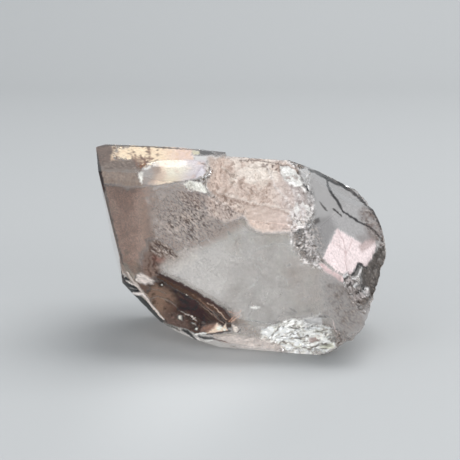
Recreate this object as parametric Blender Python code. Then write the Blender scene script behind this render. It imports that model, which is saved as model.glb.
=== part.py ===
"""Smoky quartz crystal, one natural broken crystal about 72 mm long.

Run in Blender 4.5.  Units are metres, +Z is up.  The crystal stands on a small
flat facet at z = 0, with its origin under the middle of its bounding box.

A block is split along flat faces (the growth faces and the cleaner breaks),
rounded off at its right-hand end, then cut back by a sloping broken step and by
shell-shaped (conchoidal) scars.
"""

import math

import bmesh
import bpy
from mathutils import Matrix, Vector

MM = 0.001

# ---------------------------------------------------------------- dimensions
NAME = "smoky_quartz_crystal"
BLANK = 150.0  # mm, side of the block the crystal is split from

# Every flat face: the way it looks out, as an azimuth from +X towards +Y and a
# rise above the horizontal, both in degrees, and how far it is from the origin
# along that direction, in mm.
FRONT_FACE = (-90.2, 9.8, 20.5)
TOP_LEDGE = (-56.1, 84.7, 45.0)
LEDGE_SLOPE = (2.8, 83.0, 44.75)
TOP_BACK_FACE = (90.0, 36.9, 37.75)
LEFT_SLIVER = (-168.5, -8.0, 26.95)
BACK_LEFT_FACE = (143.1, -6.8, 27.95)
BACK_FACE = (87.1, -2.9, 16.45)
LOWER_LEFT_FACE = (-135.1, -37.8, 10.1)
UNDERCUT_FACE = (-176.3, -38.5, 11.9)
UNDER_LEFT_FACE = (175.8, -67.5, 1.65)
DARK_WEDGE_FACE = (-115.1, -30.3, 9.2)
UNDER_FRONT_FACE = (-101.8, -42.4, 5.6)
UNDER_BACK_FACE = (99.2, -51.2, 9.3)
REST_FACE = (0.0, -90.0, 0.0)
CAP_FRONT_FACE = (-39.0, 25.9, 35.8)
CAP_TOP_FACE = (-7.2, 64.6, 43.6)
CAP_UNDER_FACE = (4.7, -35.9, 16.4)
HEEL_FACE = (1.2, -38.1, 16.3)

# The broken end: a barrel lying front to back, stretched and flared to the left.
END_CENTRE = (8.5, 1.5, 21.3)
END_RADII = (27.8, 60.0, 24.3)
END_FLARE = 0.004  # per mm to the left of the barrel's centre
END_STRETCH = 90.0
END_SQUARENESS = 2.25  # 2 is an ellipse, more is boxier

# The sloping broken step behind the right end of the ledge, bounded by its own
# floor (looking up and forward) and by its riser (looking right).
STEP_FLOOR = (-71.9, 71.4, 37.6)
STEP_RISER = (-9.9, 13.0, 4.5)

# Shell-shaped scars: centre (mm), radii (mm) and turn about X, Y, Z (degrees)
# of the bowl that is scooped out of the surface.
SCARS = {
    "lens_chip": ((-15.2, -8.8, 49.9), (12.8, 10.2, 6.9), (0.0, 0.0, 35.0)),
    "heel_scar": ((16.5, -20.4, 2.2), (10.5, 6.4, 7.6), (0.0, -14.0, 6.0)),
    "end_back_scar": ((42.6, 17.0, 28.0), (13.0, 13.0, 15.0), (0.0, 0.0, 0.0)),
    "back_scar": ((8.0, 27.6, 40.0), (16.0, 11.5, 10.0), (-14.0, 6.0, 0.0)),
}
SCAR_SEGMENTS = 56
SCAR_RINGS = 28

SMOKE = (0.42, 0.33, 0.27, 1.0)
IOR = 1.544


# ------------------------------------------------------------------- helpers
def direction(azimuth, rise):
    """Unit vector that looks out at an azimuth and a rise in degrees."""
    a, r = math.radians(azimuth), math.radians(rise)
    return Vector((math.cos(a) * math.cos(r), math.sin(a) * math.cos(r), math.sin(r)))


def split(bm, face, keep_inside=True):
    """Cut the closed solid in bm along a flat face and close the cut."""
    azimuth, rise, distance = face
    normal = direction(azimuth, rise)
    if not keep_inside:
        normal = -normal
    point = direction(azimuth, rise) * distance * MM
    geometry = list(bm.verts) + list(bm.edges) + list(bm.faces)
    cut = bmesh.ops.bisect_plane(
        bm, geom=geometry, plane_co=point, plane_no=normal, clear_outer=True, dist=1e-8
    )
    rim = [e for e in cut["geom_cut"] if isinstance(e, bmesh.types.BMEdge)]
    if rim:
        bmesh.ops.contextual_create(bm, geom=rim)


def make_object(name, bm, collection):
    """Put a bmesh into a new object of a collection."""
    bmesh.ops.recalc_face_normals(bm, faces=bm.faces)
    mesh = bpy.data.meshes.new(name)
    bm.to_mesh(mesh)
    bm.free()
    obj = bpy.data.objects.new(name, mesh)
    collection.objects.link(obj)
    return obj


def as_cutter(obj):
    """A cutter shows as wire and is left out of renders."""
    obj.hide_render = True
    obj.display_type = "WIRE"
    return obj


def add_boolean(obj, cutter, operation):
    """Add a live Boolean to obj."""
    modifier = obj.modifiers.new(cutter.name, "BOOLEAN")
    modifier.operation = operation
    modifier.solver = "EXACT"
    modifier.object = cutter
    return modifier


# --------------------------------------------------------------------- pieces
def split_block(collection):
    """The block with every flat face split off."""
    bm = bmesh.new()
    bmesh.ops.create_cube(bm, size=BLANK * MM)
    faces = (
        FRONT_FACE, TOP_LEDGE, LEFT_SLIVER, BACK_LEFT_FACE, BACK_FACE,
        LOWER_LEFT_FACE, UNDERCUT_FACE, UNDER_LEFT_FACE, DARK_WEDGE_FACE,
        UNDER_FRONT_FACE, REST_FACE, UNDER_BACK_FACE, TOP_BACK_FACE,
        CAP_FRONT_FACE, CAP_UNDER_FACE, LEDGE_SLOPE, CAP_TOP_FACE, HEEL_FACE,
    )
    for face in faces:
        split(bm, face)
    return make_object(NAME, bm, collection)


def end_barrel(collection):
    """The rounded end, a ball stretched into a barrel that opens to the left."""
    bm = bmesh.new()
    bmesh.ops.create_uvsphere(
        bm, u_segments=72, v_segments=36, radius=1.0, matrix=Matrix.Rotation(math.pi / 2, 4, "Y")
    )
    for vert in bm.verts:
        x, y, z = vert.co
        round_size = math.hypot(x, z)
        if round_size > 1e-6:
            p = END_SQUARENESS
            grow = round_size / (abs(x) ** p + abs(z) ** p) ** (1 / p)
            x, z = x * grow, z * grow
        along = x * END_RADII[0]
        if vert.co.x < -1e-4:
            along -= END_STRETCH
        flare = 1 - END_FLARE * along
        vert.co = Vector((along, y * END_RADII[1], z * END_RADII[2] * flare)) * MM
    bmesh.ops.translate(bm, verts=bm.verts, vec=Vector(END_CENTRE) * MM)
    return as_cutter(make_object("end_barrel", bm, collection))


def broken_step(collection):
    """The wedge of quartz that broke away above the sloping step."""
    bm = bmesh.new()
    bmesh.ops.create_cube(bm, size=1.6 * BLANK * MM)
    split(bm, STEP_FLOOR, keep_inside=False)
    split(bm, STEP_RISER, keep_inside=False)
    return as_cutter(make_object("broken_step", bm, collection))


def scar(name, collection):
    """The bowl of one conchoidal scar."""
    centre, radii, turn = SCARS[name]
    bm = bmesh.new()
    bmesh.ops.create_uvsphere(bm, u_segments=SCAR_SEGMENTS, v_segments=SCAR_RINGS, radius=1.0)
    place = Matrix.Translation(Vector(centre) * MM)
    for angle, axis in zip(turn, "XYZ"):
        place = place @ Matrix.Rotation(math.radians(angle), 4, axis)
    size = Matrix.Diagonal((radii[0] * MM, radii[1] * MM, radii[2] * MM, 1.0))
    bmesh.ops.transform(bm, matrix=place @ size, verts=bm.verts)
    return as_cutter(make_object(name, bm, collection))


def smoky_quartz():
    """The crystal's own material, a clear glassy solid with a brown smoke."""
    material = bpy.data.materials.new("smoky_quartz")
    material.use_nodes = True
    shader = material.node_tree.nodes["Principled BSDF"]
    shader.inputs["Base Color"].default_value = SMOKE
    shader.inputs["Roughness"].default_value = 0.05
    shader.inputs["Metallic"].default_value = 0.0
    shader.inputs["IOR"].default_value = IOR
    shader.inputs["Transmission Weight"].default_value = 1.0
    return material


def main():
    for obj in list(bpy.data.objects):
        bpy.data.objects.remove(obj)
    scene = bpy.context.scene
    parts = bpy.data.collections.new(NAME)
    cutters = bpy.data.collections.new("cutters")
    scene.collection.children.link(parts)
    scene.collection.children.link(cutters)

    crystal = split_block(parts)
    crystal.data.materials.append(smoky_quartz())
    add_boolean(crystal, end_barrel(cutters), "INTERSECT")
    add_boolean(crystal, broken_step(cutters), "DIFFERENCE")
    for name in SCARS:
        add_boolean(crystal, scar(name, cutters), "DIFFERENCE")


main()
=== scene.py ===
import math

import bmesh
import bpy
import numpy as np
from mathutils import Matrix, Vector
from mathutils.bvhtree import BVHTree
from mathutils.kdtree import KDTree


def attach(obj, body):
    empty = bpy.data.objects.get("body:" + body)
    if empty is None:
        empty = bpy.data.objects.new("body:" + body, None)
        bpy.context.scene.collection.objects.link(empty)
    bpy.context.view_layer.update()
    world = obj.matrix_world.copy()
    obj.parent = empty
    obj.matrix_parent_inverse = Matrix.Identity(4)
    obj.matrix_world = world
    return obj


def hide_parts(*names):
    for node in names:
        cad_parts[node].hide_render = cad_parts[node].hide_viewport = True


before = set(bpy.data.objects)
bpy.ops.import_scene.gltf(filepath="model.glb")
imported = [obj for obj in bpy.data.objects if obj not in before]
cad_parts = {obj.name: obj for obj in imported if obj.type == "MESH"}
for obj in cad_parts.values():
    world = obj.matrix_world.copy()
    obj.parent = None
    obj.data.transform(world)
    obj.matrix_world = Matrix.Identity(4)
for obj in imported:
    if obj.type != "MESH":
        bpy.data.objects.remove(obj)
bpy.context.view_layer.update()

MM = 0.001
NODE = "smoky_quartz_crystal"
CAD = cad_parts[NODE]

# ------------------------------------------------------------------ camera
LENS, SENSOR, DIST, ELEV = 80.0, 36.0, 252.0, math.radians(15.0)
AIM = Vector((-2.5, -0.5, 28.5))
LOOK = Vector((0.0, math.cos(ELEV), -math.sin(ELEV)))
RIGHT = Vector((1.0, 0.0, 0.0))
UP = RIGHT.cross(LOOK)
EYE = AIM - LOOK * DIST
FOCAL = 460 * LENS / SENSOR

camera_data = bpy.data.cameras.new("camera")
camera_data.lens = LENS
camera_data.sensor_width = SENSOR
camera_data.clip_start = 0.01
camera_data.clip_end = 20
camera = bpy.data.objects.new("camera", camera_data)
bpy.context.scene.collection.objects.link(camera)
camera.location = EYE * MM
camera.rotation_mode = "QUATERNION"
camera.rotation_quaternion = LOOK.to_track_quat("-Z", "Y")
bpy.context.scene.camera = camera


def see(P):
    """Picture coordinates (460 frame) of points in mm, as two arrays."""
    V = np.asarray(P, float).reshape(-1, 3) - np.array(EYE)
    d = V @ np.array(LOOK)
    return 230 + FOCAL * (V @ np.array(RIGHT)) / d, 230 - FOCAL * (V @ np.array(UP)) / d


def sight(u, v):
    """Direction in which the camera looks through a place of the picture."""
    return (LOOK + RIGHT * (u - 230) / FOCAL - UP * (v - 230) / FOCAL).normalized()


# ---------------------------------------------------------- number helpers
def ramp(a, b, x):
    t = np.clip((np.asarray(x, float) - a) / (b - a), 0, 1)
    return t * t * (3 - 2 * t)


def inside(poly, u, v):
    """Signed distance in picture units to a polygon, positive inside."""
    u, v = np.asarray(u, float), np.asarray(v, float)
    hit = np.zeros(u.shape, bool)
    best = np.full(u.shape, 1e9)
    for (x0, y0), (x1, y1) in zip(poly, poly[1:] + poly[:1]):
        dx, dy = x1 - x0, y1 - y0
        t = np.clip(((u - x0) * dx + (v - y0) * dy) / (dx * dx + dy * dy), 0, 1)
        best = np.minimum(best, np.hypot(u - x0 - t * dx, v - y0 - t * dy))
        if dy:
            hit ^= ((y0 > v) != (y1 > v)) & (u < x0 + (v - y0) * dx / dy)
    return np.where(hit, best, -best)


def near_line(line, u, v):
    """Distance in picture units to an open line, and how far along it (0 to 1)."""
    u, v = np.asarray(u, float), np.asarray(v, float)
    best = np.full(u.shape, 1e9)
    along = np.zeros(u.shape)
    total = sum(math.dist(a, b) for a, b in zip(line, line[1:]))
    gone = 0.0
    for (x0, y0), (x1, y1) in zip(line, line[1:]):
        dx, dy = x1 - x0, y1 - y0
        step = math.hypot(dx, dy)
        t = np.clip(((u - x0) * dx + (v - y0) * dy) / (dx * dx + dy * dy), 0, 1)
        d = np.hypot(u - x0 - t * dx, v - y0 - t * dy)
        along = np.where(d < best, (gone + t * step) / total, along)
        best = np.minimum(best, d)
        gone += step
    return best, along


def _mix(ix, iy, iz, seed):
    h = (ix * 374761393 + iy * 668265263 + iz * 1440662683 + seed * 1013904223) & 0xFFFFFFFF
    h = ((h ^ (h >> 13)) * 1274126177) & 0xFFFFFFFF
    h = ((h ^ (h >> 15)) * 2246822519) & 0xFFFFFFFF
    return h ^ (h >> 16)


def grain(x, y, z, seed=0):
    """Gradient noise in about -1 to 1."""
    x, y, z = (np.asarray(c, float) for c in np.broadcast_arrays(x, y, z))
    i, j, k = (np.floor(c).astype(np.int64) for c in (x, y, z))
    fx, fy, fz = x - i, y - j, z - k
    wx, wy, wz = (f * f * f * (f * (f * 6 - 15) + 10) for f in (fx, fy, fz))
    total = np.zeros(x.shape)
    for a in (0, 1):
        for b in (0, 1):
            for c in (0, 1):
                h = _mix(i + a, j + b, k + c, seed)
                gx = (h & 1023) / 511.5 - 1
                gy = ((h >> 10) & 1023) / 511.5 - 1
                gz = ((h >> 20) & 1023) / 511.5 - 1
                dot = gx * (fx - a) + gy * (fy - b) + gz * (fz - c)
                total += dot * (wx if a else 1 - wx) * (wy if b else 1 - wy) * (wz if c else 1 - wz)
    return total * 1.6


def cloud(x, y, z=0.0, octaves=4, seed=0, gain=0.5, ridged=False):
    """Layered noise; ridged gives creases in 0 to 1."""
    x, y, z = (np.asarray(c, float) for c in np.broadcast_arrays(x, y, z))
    total, size, weight = np.zeros(x.shape), 1.0, 0.0
    for o in range(octaves):
        n = grain(x, y, z, seed + 17 * o)
        total += size * ((1 - np.abs(n)) ** 2 if ridged else n)
        weight += size
        size *= gain
        x, y, z = x * 2.03 + 3.1, y * 2.03 - 1.7, z * 2.03 + 5.3
    return total / weight


def cells(x, y, seed=0, jitter=0.95):
    """Cell noise in a plane: nearest and second distances, and a random number of the cell."""
    x, y = np.asarray(x, float), np.asarray(y, float)
    i, j = np.floor(x).astype(np.int64), np.floor(y).astype(np.int64)
    one, two, who = np.full(x.shape, 9.0), np.full(x.shape, 9.0), np.zeros(x.shape)
    for a in (-1, 0, 1):
        for b in (-1, 0, 1):
            h = _mix(i + a, j + b, 0 * i, seed)
            px = i + a + 0.5 + jitter * ((h & 4095) / 4095 - 0.5)
            py = j + b + 0.5 + jitter * (((h >> 12) & 4095) / 4095 - 0.5)
            d = np.hypot(x - px, y - py)
            closer = d < one
            two = np.where(closer, one, np.minimum(two, d))
            who = np.where(closer, ((h >> 4) & 65535) / 65535, who)
            one = np.where(closer, d, one)
    return one, two, who


def cells3(P, seed=0):
    """Cell noise in space: nearest and second distances, a random number, and the cell's centre."""
    P = np.asarray(P, float)
    I = np.floor(P).astype(np.int64)
    one, two = np.full(len(P), 9.0), np.full(len(P), 9.0)
    who, centre = np.zeros(len(P)), np.zeros_like(P)
    for a in (-1, 0, 1):
        for b in (-1, 0, 1):
            for c in (-1, 0, 1):
                h = _mix(I[:, 0] + a, I[:, 1] + b, I[:, 2] + c, seed)
                off = np.stack([(h & 1023) / 1023, ((h >> 10) & 1023) / 1023, ((h >> 20) & 1023) / 1023], 1)
                p = I + np.array([a, b, c]) + off
                d = np.linalg.norm(P - p, axis=1)
                closer = d < one
                two = np.where(closer, one, np.minimum(two, d))
                who = np.where(closer, ((h >> 3) & 65535) / 65535, who)
                centre = np.where(closer[:, None], p, centre)
                one = np.where(closer, d, one)
    return one, two, who, centre


def link_object(name, mesh):
    obj = bpy.data.objects.new(name, mesh)
    bpy.context.scene.collection.objects.link(obj)
    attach(obj, "root")
    return obj


# ----------------------------------------------------------- the base solid
def base_mesh():
    """The CAD solid in mm, welded, with its flat faces whole."""
    bm = bmesh.new()
    bm.from_mesh(CAD.data)
    bmesh.ops.scale(bm, vec=(1000, 1000, 1000), verts=bm.verts)
    bmesh.ops.remove_doubles(bm, verts=bm.verts, dist=1e-4)
    bmesh.ops.dissolve_limit(bm, angle_limit=math.radians(0.05), verts=bm.verts, edges=bm.edges)
    bmesh.ops.recalc_face_normals(bm, faces=bm.faces)
    # the left end face is seen edge-on: its front edge lies on the outline
    outline = [(148.0, 94.2), (156.0, 95.0), (180.0, 100.0), (207.0, 106.4), (237.0, 114.0), (264.0, 121.4), (290.0, 130.0)]
    away = Vector((-0.97, -0.2, -0.14)).normalized()
    for v in bm.verts:
        ends = [f for f in v.link_faces if f.normal.dot(away) > 0.985 and f.calc_area() > 5]
        if ends and v.co.x < -20:
            u, w = (float(c[0]) for c in see([v.co]))
            goal = float(np.interp(w, [o[0] for o in outline], [o[1] for o in outline]))
            if 0.3 < u - goal < 12:
                per_mm = FOCAL / (v.co - EYE).dot(LOOK)
                v.co.x = max(v.co.x - (u - goal) / per_mm, -36.0)
    bm.normal_update()
    return bm


BASE = base_mesh()
_tri = BASE.copy()
bmesh.ops.triangulate(_tri, faces=_tri.faces)
BVH = BVHTree.FromBMesh(_tri)
_tri.free()

_edge_points = []
for e in BASE.edges:
    if len(e.link_faces) == 2 and e.calc_face_angle(0) > math.radians(12):
        a, b = e.verts[0].co, e.verts[1].co
        n = max(1, int((b - a).length / 0.5))
        for i in range(n + 1):
            _edge_points.append(a.lerp(b, i / n))
EDGES = KDTree(len(_edge_points))
for i, p in enumerate(_edge_points):
    EDGES.insert(p, i)
EDGES.balance()


def edge_distance(P):
    return np.array([EDGES.find(p)[2] for p in P])


# --------------------------------------------------------------- rough zones
# Outlines in picture coordinates of the broken areas that face the camera.
PEACH = [(214, 157), (226, 155), (262, 157), (286, 159), (299, 164), (312, 182), (316, 212), (303, 232),
         (290, 232), (272, 231), (258, 228), (247, 218), (240, 212), (226, 212), (216, 204), (206, 194),
         (186, 190), (186, 180), (198, 178), (206, 166)]
SPARKLE = [(279, 159), (297, 164), (306, 176), (313, 190), (315, 214), (309, 232), (316, 252), (325, 264),
           (316, 268), (304, 262), (296, 246), (290, 240), (292, 222), (300, 206), (296, 188), (282, 176)]
CHUNK = [(342, 276), (350, 272), (358, 276), (363, 285), (371, 288), (371, 298), (360, 306), (350, 296)]
BASE_BREAK = [(258, 332), (270, 326), (282, 320), (296, 317), (305, 320), (320, 324), (332, 326), (340, 338), (332, 350), (316, 358), (284, 358), (272, 346), (260, 341)]
MARGIN = [(362, 266), (370, 258), (378, 240), (392, 230), (392, 300), (362, 312), (352, 300), (366, 290)]
TONGUE = [(243, 206), (250, 203), (262, 205), (280, 208), (289, 214), (288, 226), (281, 231), (264, 232), (255, 229), (247, 219)]


def facing(P, N):
    away = np.array(EYE) - P
    return np.einsum("ij,ij->i", N, away / np.linalg.norm(away, axis=1)[:, None])


def pebbled(P, N):
    """Soft, lumpy break (0 to 1)."""
    u, v = see(P)
    front = np.maximum(ramp(-2, 3, inside(PEACH, u, v)) * (1 - 0.55 * ramp(-1, 2, inside(TONGUE, u, v))),
                       ramp(-2, 3, inside(MARGIN, u, v)) * 0.8) * (facing(P, N) > -0.02)
    back = ramp(18.0, 30.0, P[:, 0]) * ramp(2.0, 8.0, P[:, 1]) * 0.7
    under = ramp(-0.3, -0.75, N[:, 2]) * ramp(-6.0, 6.0, P[:, 0]) * 0.8 * ramp(0.05, 1.2, P[:, 2])
    return np.maximum.reduce([front, back, under])


def splintered(P, N):
    """Sharp, chipped break (0 to 1)."""
    u, v = see(P)
    return np.maximum.reduce([
        ramp(-1.5, 1.5, inside(SPARKLE, u, v)),
        ramp(-1.5, 1.5, inside(CHUNK, u, v)),
        ramp(-1.5, 2.5, inside(BASE_BREAK, u, v)),
    ]) * (facing(P, N) > -0.02)


def fine_mesh():
    """The base solid with its triangles split where the surface is rough, marked or near an edge."""
    bm = BASE.copy()
    for step in range(9):
        bmesh.ops.triangulate(bm, faces=bm.faces, quad_method="BEAUTY", ngon_method="BEAUTY")
        bm.normal_update()
        edges = [e for e in bm.edges if e.calc_length() > 0.33]
        if not edges:
            break
        mid = np.array([(e.verts[0].co + e.verts[1].co) / 2 for e in edges])
        nor = np.array([(e.link_faces[0].normal + e.link_faces[1].normal).normalized() for e in edges])
        size = np.where(edge_distance(mid) < 1.2, 0.7, 1.7)
        rough = np.maximum(pebbled(mid, nor), splintered(mid, nor))
        size = np.where(rough > 0.05, 0.75, size)
        u, v = see(mid)
        seen = facing(mid, nor) > 0
        size = np.where(seen, 1.0, size)
        marked = seen & ((rough > 0.05) | (inside(FROSTED, u, v) > -1))
        size = np.where(marked, 0.46, size)
        length = np.array([e.calc_length() for e in edges])
        size = np.where(seen & fine_marks(mid, length), 0.29, size)
        todo = [e for e, yes in zip(edges, length > size * 1.35) if yes]
        if not todo:
            break
        bmesh.ops.subdivide_edges(bm, edges=todo, cuts=1, use_grid_fill=False)
    bmesh.ops.triangulate(bm, faces=bm.faces, quad_method="BEAUTY", ngon_method="BEAUTY")
    bm.normal_update()
    return bm


# Frosted places outside the rough zones also get a fine mesh.
FROSTED = [(92, 142), (222, 142), (300, 158), (340, 174), (392, 210), (392, 262), (350, 285),
           (318, 270), (288, 246), (240, 236), (200, 196), (140, 190), (100, 176)]


def build_crystal():
    bm = fine_mesh()
    bm.verts.index_update()
    P = np.array([v.co for v in bm.verts])
    N = np.array([v.normal for v in bm.verts])
    face_n = np.array([f.normal for f in bm.faces])
    tri = np.array([[v.index for v in f.verts] for f in bm.faces])
    bm.free()
    soft, hard, front = np.zeros(len(P)), np.zeros(len(P)), np.zeros(len(P))
    for c in range(3):
        np.maximum.at(soft, tri[:, c], pebbled(P[tri[:, c]], face_n))
        np.maximum.at(hard, tri[:, c], splintered(P[tri[:, c]], face_n))
        np.maximum.at(front, tri[:, c], facing(P[tri[:, c]], face_n))
    near = edge_distance(P)
    x, y, z = P.T
    big = 0.5 + 0.5 * cloud(x * 0.28, y * 0.28, z * 0.28, 3, seed=3)
    mid = np.abs(cloud(x * 0.34, y * 0.34, z * 0.34, 3, seed=9))
    small = np.abs(cloud(x * 1.7, y * 1.7, z * 1.7, 3, seed=1))
    wave = soft * (0.35 * big + 1.5 * mid + 0.30 * small)
    one, two, who, centre = cells3(P * np.array([0.55, 0.55, 0.8]) + 0.25 * np.stack([mid, small, mid], 1), seed=5)
    tilt = np.stack([np.sin(who * 41.0), np.cos(who * 67.0), np.sin(who * 23.0 + 1.0)], 1)
    facet = 0.5 + 0.5 * np.clip(np.einsum("ij,ij->i", P * np.array([0.55, 0.55, 0.8]) - centre, tilt) * 1.6, -1, 1)
    wave = np.maximum(wave * (1 - hard), hard * (0.15 + 0.75 * facet + 0.18 * small))
    chip = ramp(0.9, 0.0, near) * (0.03 + 0.22 * np.maximum(0, cloud(x * 0.8, y * 0.8, z * 0.8, 3, seed=6) - 0.05))
    down = (N[:, 2] < -0.9) & (z < 0.02)
    wave[down] = 0
    chip[down] *= 0.3
    moved = P - N * (wave + chip)[:, None]
    slope = np.zeros_like(P)
    face_front = facing(P[tri].mean(axis=1), face_n)
    order = np.argsort(face_front)
    for c in range(3):
        slope[tri[order, c]] = face_n[order]
    tone, cover, gloss, scaly, grip = skin(P, N, front, soft, hard, slope)
    u, v = see(P)
    fan = np.arctan2(346 - v, u - 252)
    rays = np.stack([fan * 17, np.hypot(u - 252, v - 346) / 13, np.zeros(len(P))], 1)
    splint = ramp(-2.5, 1.5, inside([(260, 333), (270, 328), (282, 322), (292, 319), (306, 323), (320, 326), (330, 331), (334, 340), (332, 350), (322, 354), (296, 354), (280, 349), (264, 341)], u, v)) * (front > 0)
    mesh = bpy.data.meshes.new("crystal_surface")
    mesh.from_pydata((moved * MM).tolist(), [], tri.tolist())
    put(mesh, "tone", tone)
    put(mesh, "cover", cover)
    put(mesh, "matt", gloss)
    put(mesh, "scaly", scaly)
    put(mesh, "grip", grip)
    put(mesh, "rays", rays)
    put(mesh, "splint", splint)
    mesh.shade_smooth()
    mesh.set_sharp_from_angle(angle=math.radians(24))
    return mesh


def put(mesh, name, values):
    """Stores a number or a colour for each vertex."""
    if values.ndim == 2:
        layer = mesh.attributes.new(name, "FLOAT_COLOR", "POINT")
        layer.data.foreach_set("color", np.c_[values, np.ones(len(values))].astype(np.float32).ravel())
    else:
        layer = mesh.attributes.new(name, "FLOAT", "POINT")
        layer.data.foreach_set("value", values.astype(np.float32))


# ------------------------------------------------------------------- paint
KEY = Vector((0.33, 0.06, 0.94)).normalized()


def lit(P, N):
    """How bright a white matt surface looks at each place, from its slope."""
    up = N[:, 2]
    key = np.clip(N @ np.array(KEY), 0, 1)
    return 1.10 + np.where(up > 0, 0.15, 0.70) * up + 0.55 * key


def lit_inside(P, N):
    """The same for a matt layer just inside the skin."""
    up = N[:, 2]
    return 0.43 + np.where(up > 0, 0.55 * up * up, 0.20 * up)


class Paint:
    """Colour and cover of a layer, laid stroke over stroke in picture coordinates."""

    def __init__(self, P, lit, shine=0.028):
        self.P = P
        self.lit = lit
        self.shine = shine      # what the glass mirrors on top
        self.u0, self.v0 = see(P)
        u, v = self.u0, self.v0
        self.u = u + 1.1 * cloud(u * 0.13, v * 0.13, 1.0, 3, seed=21) + 0.9 * cloud(u * 0.45, v * 0.45, 4.0, 2, seed=23)
        self.v = v + 1.1 * cloud(u * 0.13, v * 0.13, 9.0, 3, seed=22) + 0.9 * cloud(u * 0.45, v * 0.45, 7.0, 2, seed=24)
        self.C = np.zeros((len(P), 3))
        self.A = np.zeros(len(P))

    def hue(self, color):
        return (np.array(color) / 255) ** 2.2

    def over(self, color, alpha):
        a = np.clip(alpha, 0, 1)
        if isinstance(color, tuple):
            color = self.hue(color)[None, :]
        self.C = self.C * (1 - a)[:, None] + color * a[:, None]
        self.A = self.A + a * (1 - self.A)

    def lift(self, alpha):
        """Takes paint away again."""
        a = np.clip(alpha, 0, 1)
        self.C *= (1 - a)[:, None]
        self.A *= 1 - a

    def area(self, poly, soft=1.0, plain=False, rag=0.0):
        u, v = (self.u0, self.v0) if plain else (self.u, self.v)
        d = inside(poly, u, v)
        if rag:
            d = d + rag * cloud((u + v) * 0.17, (v - u) * 0.17, 5.0, 3, seed=29)
        return ramp(-soft, soft, d)

    def fill(self, poly, color, alpha=1.0, soft=1.0, mask=1.0, plain=False):
        self.over(color, alpha * mask * self.area(poly, soft, plain))

    def blend(self, poly, a, b, t, alpha=1.0, soft=1.0):
        """Fills with colours running from a to b as t goes from 0 to 1."""
        t = np.clip(t, 0, 1)[:, None]
        self.over(self.hue(a)[None, :] * (1 - t) + self.hue(b)[None, :] * t, alpha * self.area(poly, soft))

    def line(self, points, width, color, alpha=1.0, soft=0.5, taper=0.0, plain=False, rag=0.25):
        u, v = (self.u0, self.v0) if plain else (self.u, self.v)
        d, t = near_line(points, u, v)
        w = width / 2 * (1 - taper * np.abs(2 * t - 1) ** 2) * (1 + rag * cloud(u * 0.5, v * 0.5, 2.0, 2, seed=31))
        self.over(color, alpha * ramp(w + soft, w - soft, d))

    def lines(self, many, *args, **kw):
        for points in many:
            self.line(points, *args, **kw)

    def streaks(self, angle, long, wide, seed, low=0.05, high=0.35, ridged=False):
        """Streaky noise in 0 to 1; angle in degrees, positive going down to the right."""
        a = math.radians(angle)
        s = self.u * math.cos(a) + self.v * math.sin(a)
        t = -self.u * math.sin(a) + self.v * math.cos(a)
        return ramp(low, high, cloud(s / long, t / wide, 0.0, 3, seed=seed, ridged=ridged))

    def spots(self, size, share, seed, angle=0.0, ratio=1.0, edge=0.35):
        """Separate spots in 0 to 1 that take up a share of the cells."""
        a = math.radians(angle)
        s = (self.u0 * math.cos(a) + self.v0 * math.sin(a)) / (size * ratio)
        t = (-self.u0 * math.sin(a) + self.v0 * math.cos(a)) / size
        one, two, who = cells(s, t, seed)
        return (who < share) * ramp(edge + 0.12, edge - 0.05, one)

    def flakes(self, size, seed, angle=0.0, ratio=1.0):
        """Cells with a random number each, and how near each point is to a cell border (1 on it)."""
        a = math.radians(angle)
        s = (self.u * math.cos(a) + self.v * math.sin(a)) / (size * ratio)
        t = (-self.u * math.sin(a) + self.v * math.cos(a)) / size
        one, two, who = cells(s, t, seed)
        return who, ramp(0.22, 0.02, two - one)

    def albedo(self):
        want = (self.C / np.maximum(self.A, 1e-4)[:, None] - np.reshape(self.shine, (-1, 1))) / self.lit[:, None]
        top = np.maximum(want.max(axis=1, keepdims=True) / 0.97, 1.0)
        return np.clip(0.3 * want + 0.7 * want / top, 0.004, 0.97)


LEDGE_GOLD = [(112, 146.5), (135, 146.5), (150, 147.5), (192, 149.5), (193, 160), (181, 161), (166, 160), (157, 159),
              (149, 165), (142, 168), (138, 160), (124, 161), (106, 160), (112, 153)]
CHIP = [(138.5, 173), (143, 170), (151, 164), (158, 160), (166, 159.5), (192, 159.5), (198, 158), (206, 160), (206, 170),
        (196, 178), (183, 180.5), (168, 183.5), (155, 185), (142, 184.5)]
PINK = [(337, 228.5), (361.5, 243), (368, 240), (375, 241), (377.5, 248), (372.5, 258), (367, 267), (357.5, 262.5),
        (352, 274), (346, 275), (335, 270), (322.5, 258.5)]
PINK_SLIVER = [(319, 264), (323, 263), (327, 267), (337, 273), (345, 277), (343, 283), (334, 277.5), (324, 271)]
WEDGE = [(154, 272), (165, 276), (178, 281.5), (195, 290.5), (214, 302.5), (226, 308.5), (233, 318), (231, 328), (222, 332),
         (207, 334), (195, 333.5), (186, 329.5), (172, 326), (162, 322.5), (154, 311), (147, 298), (140, 284), (150, 285), (158, 282)]


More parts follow.
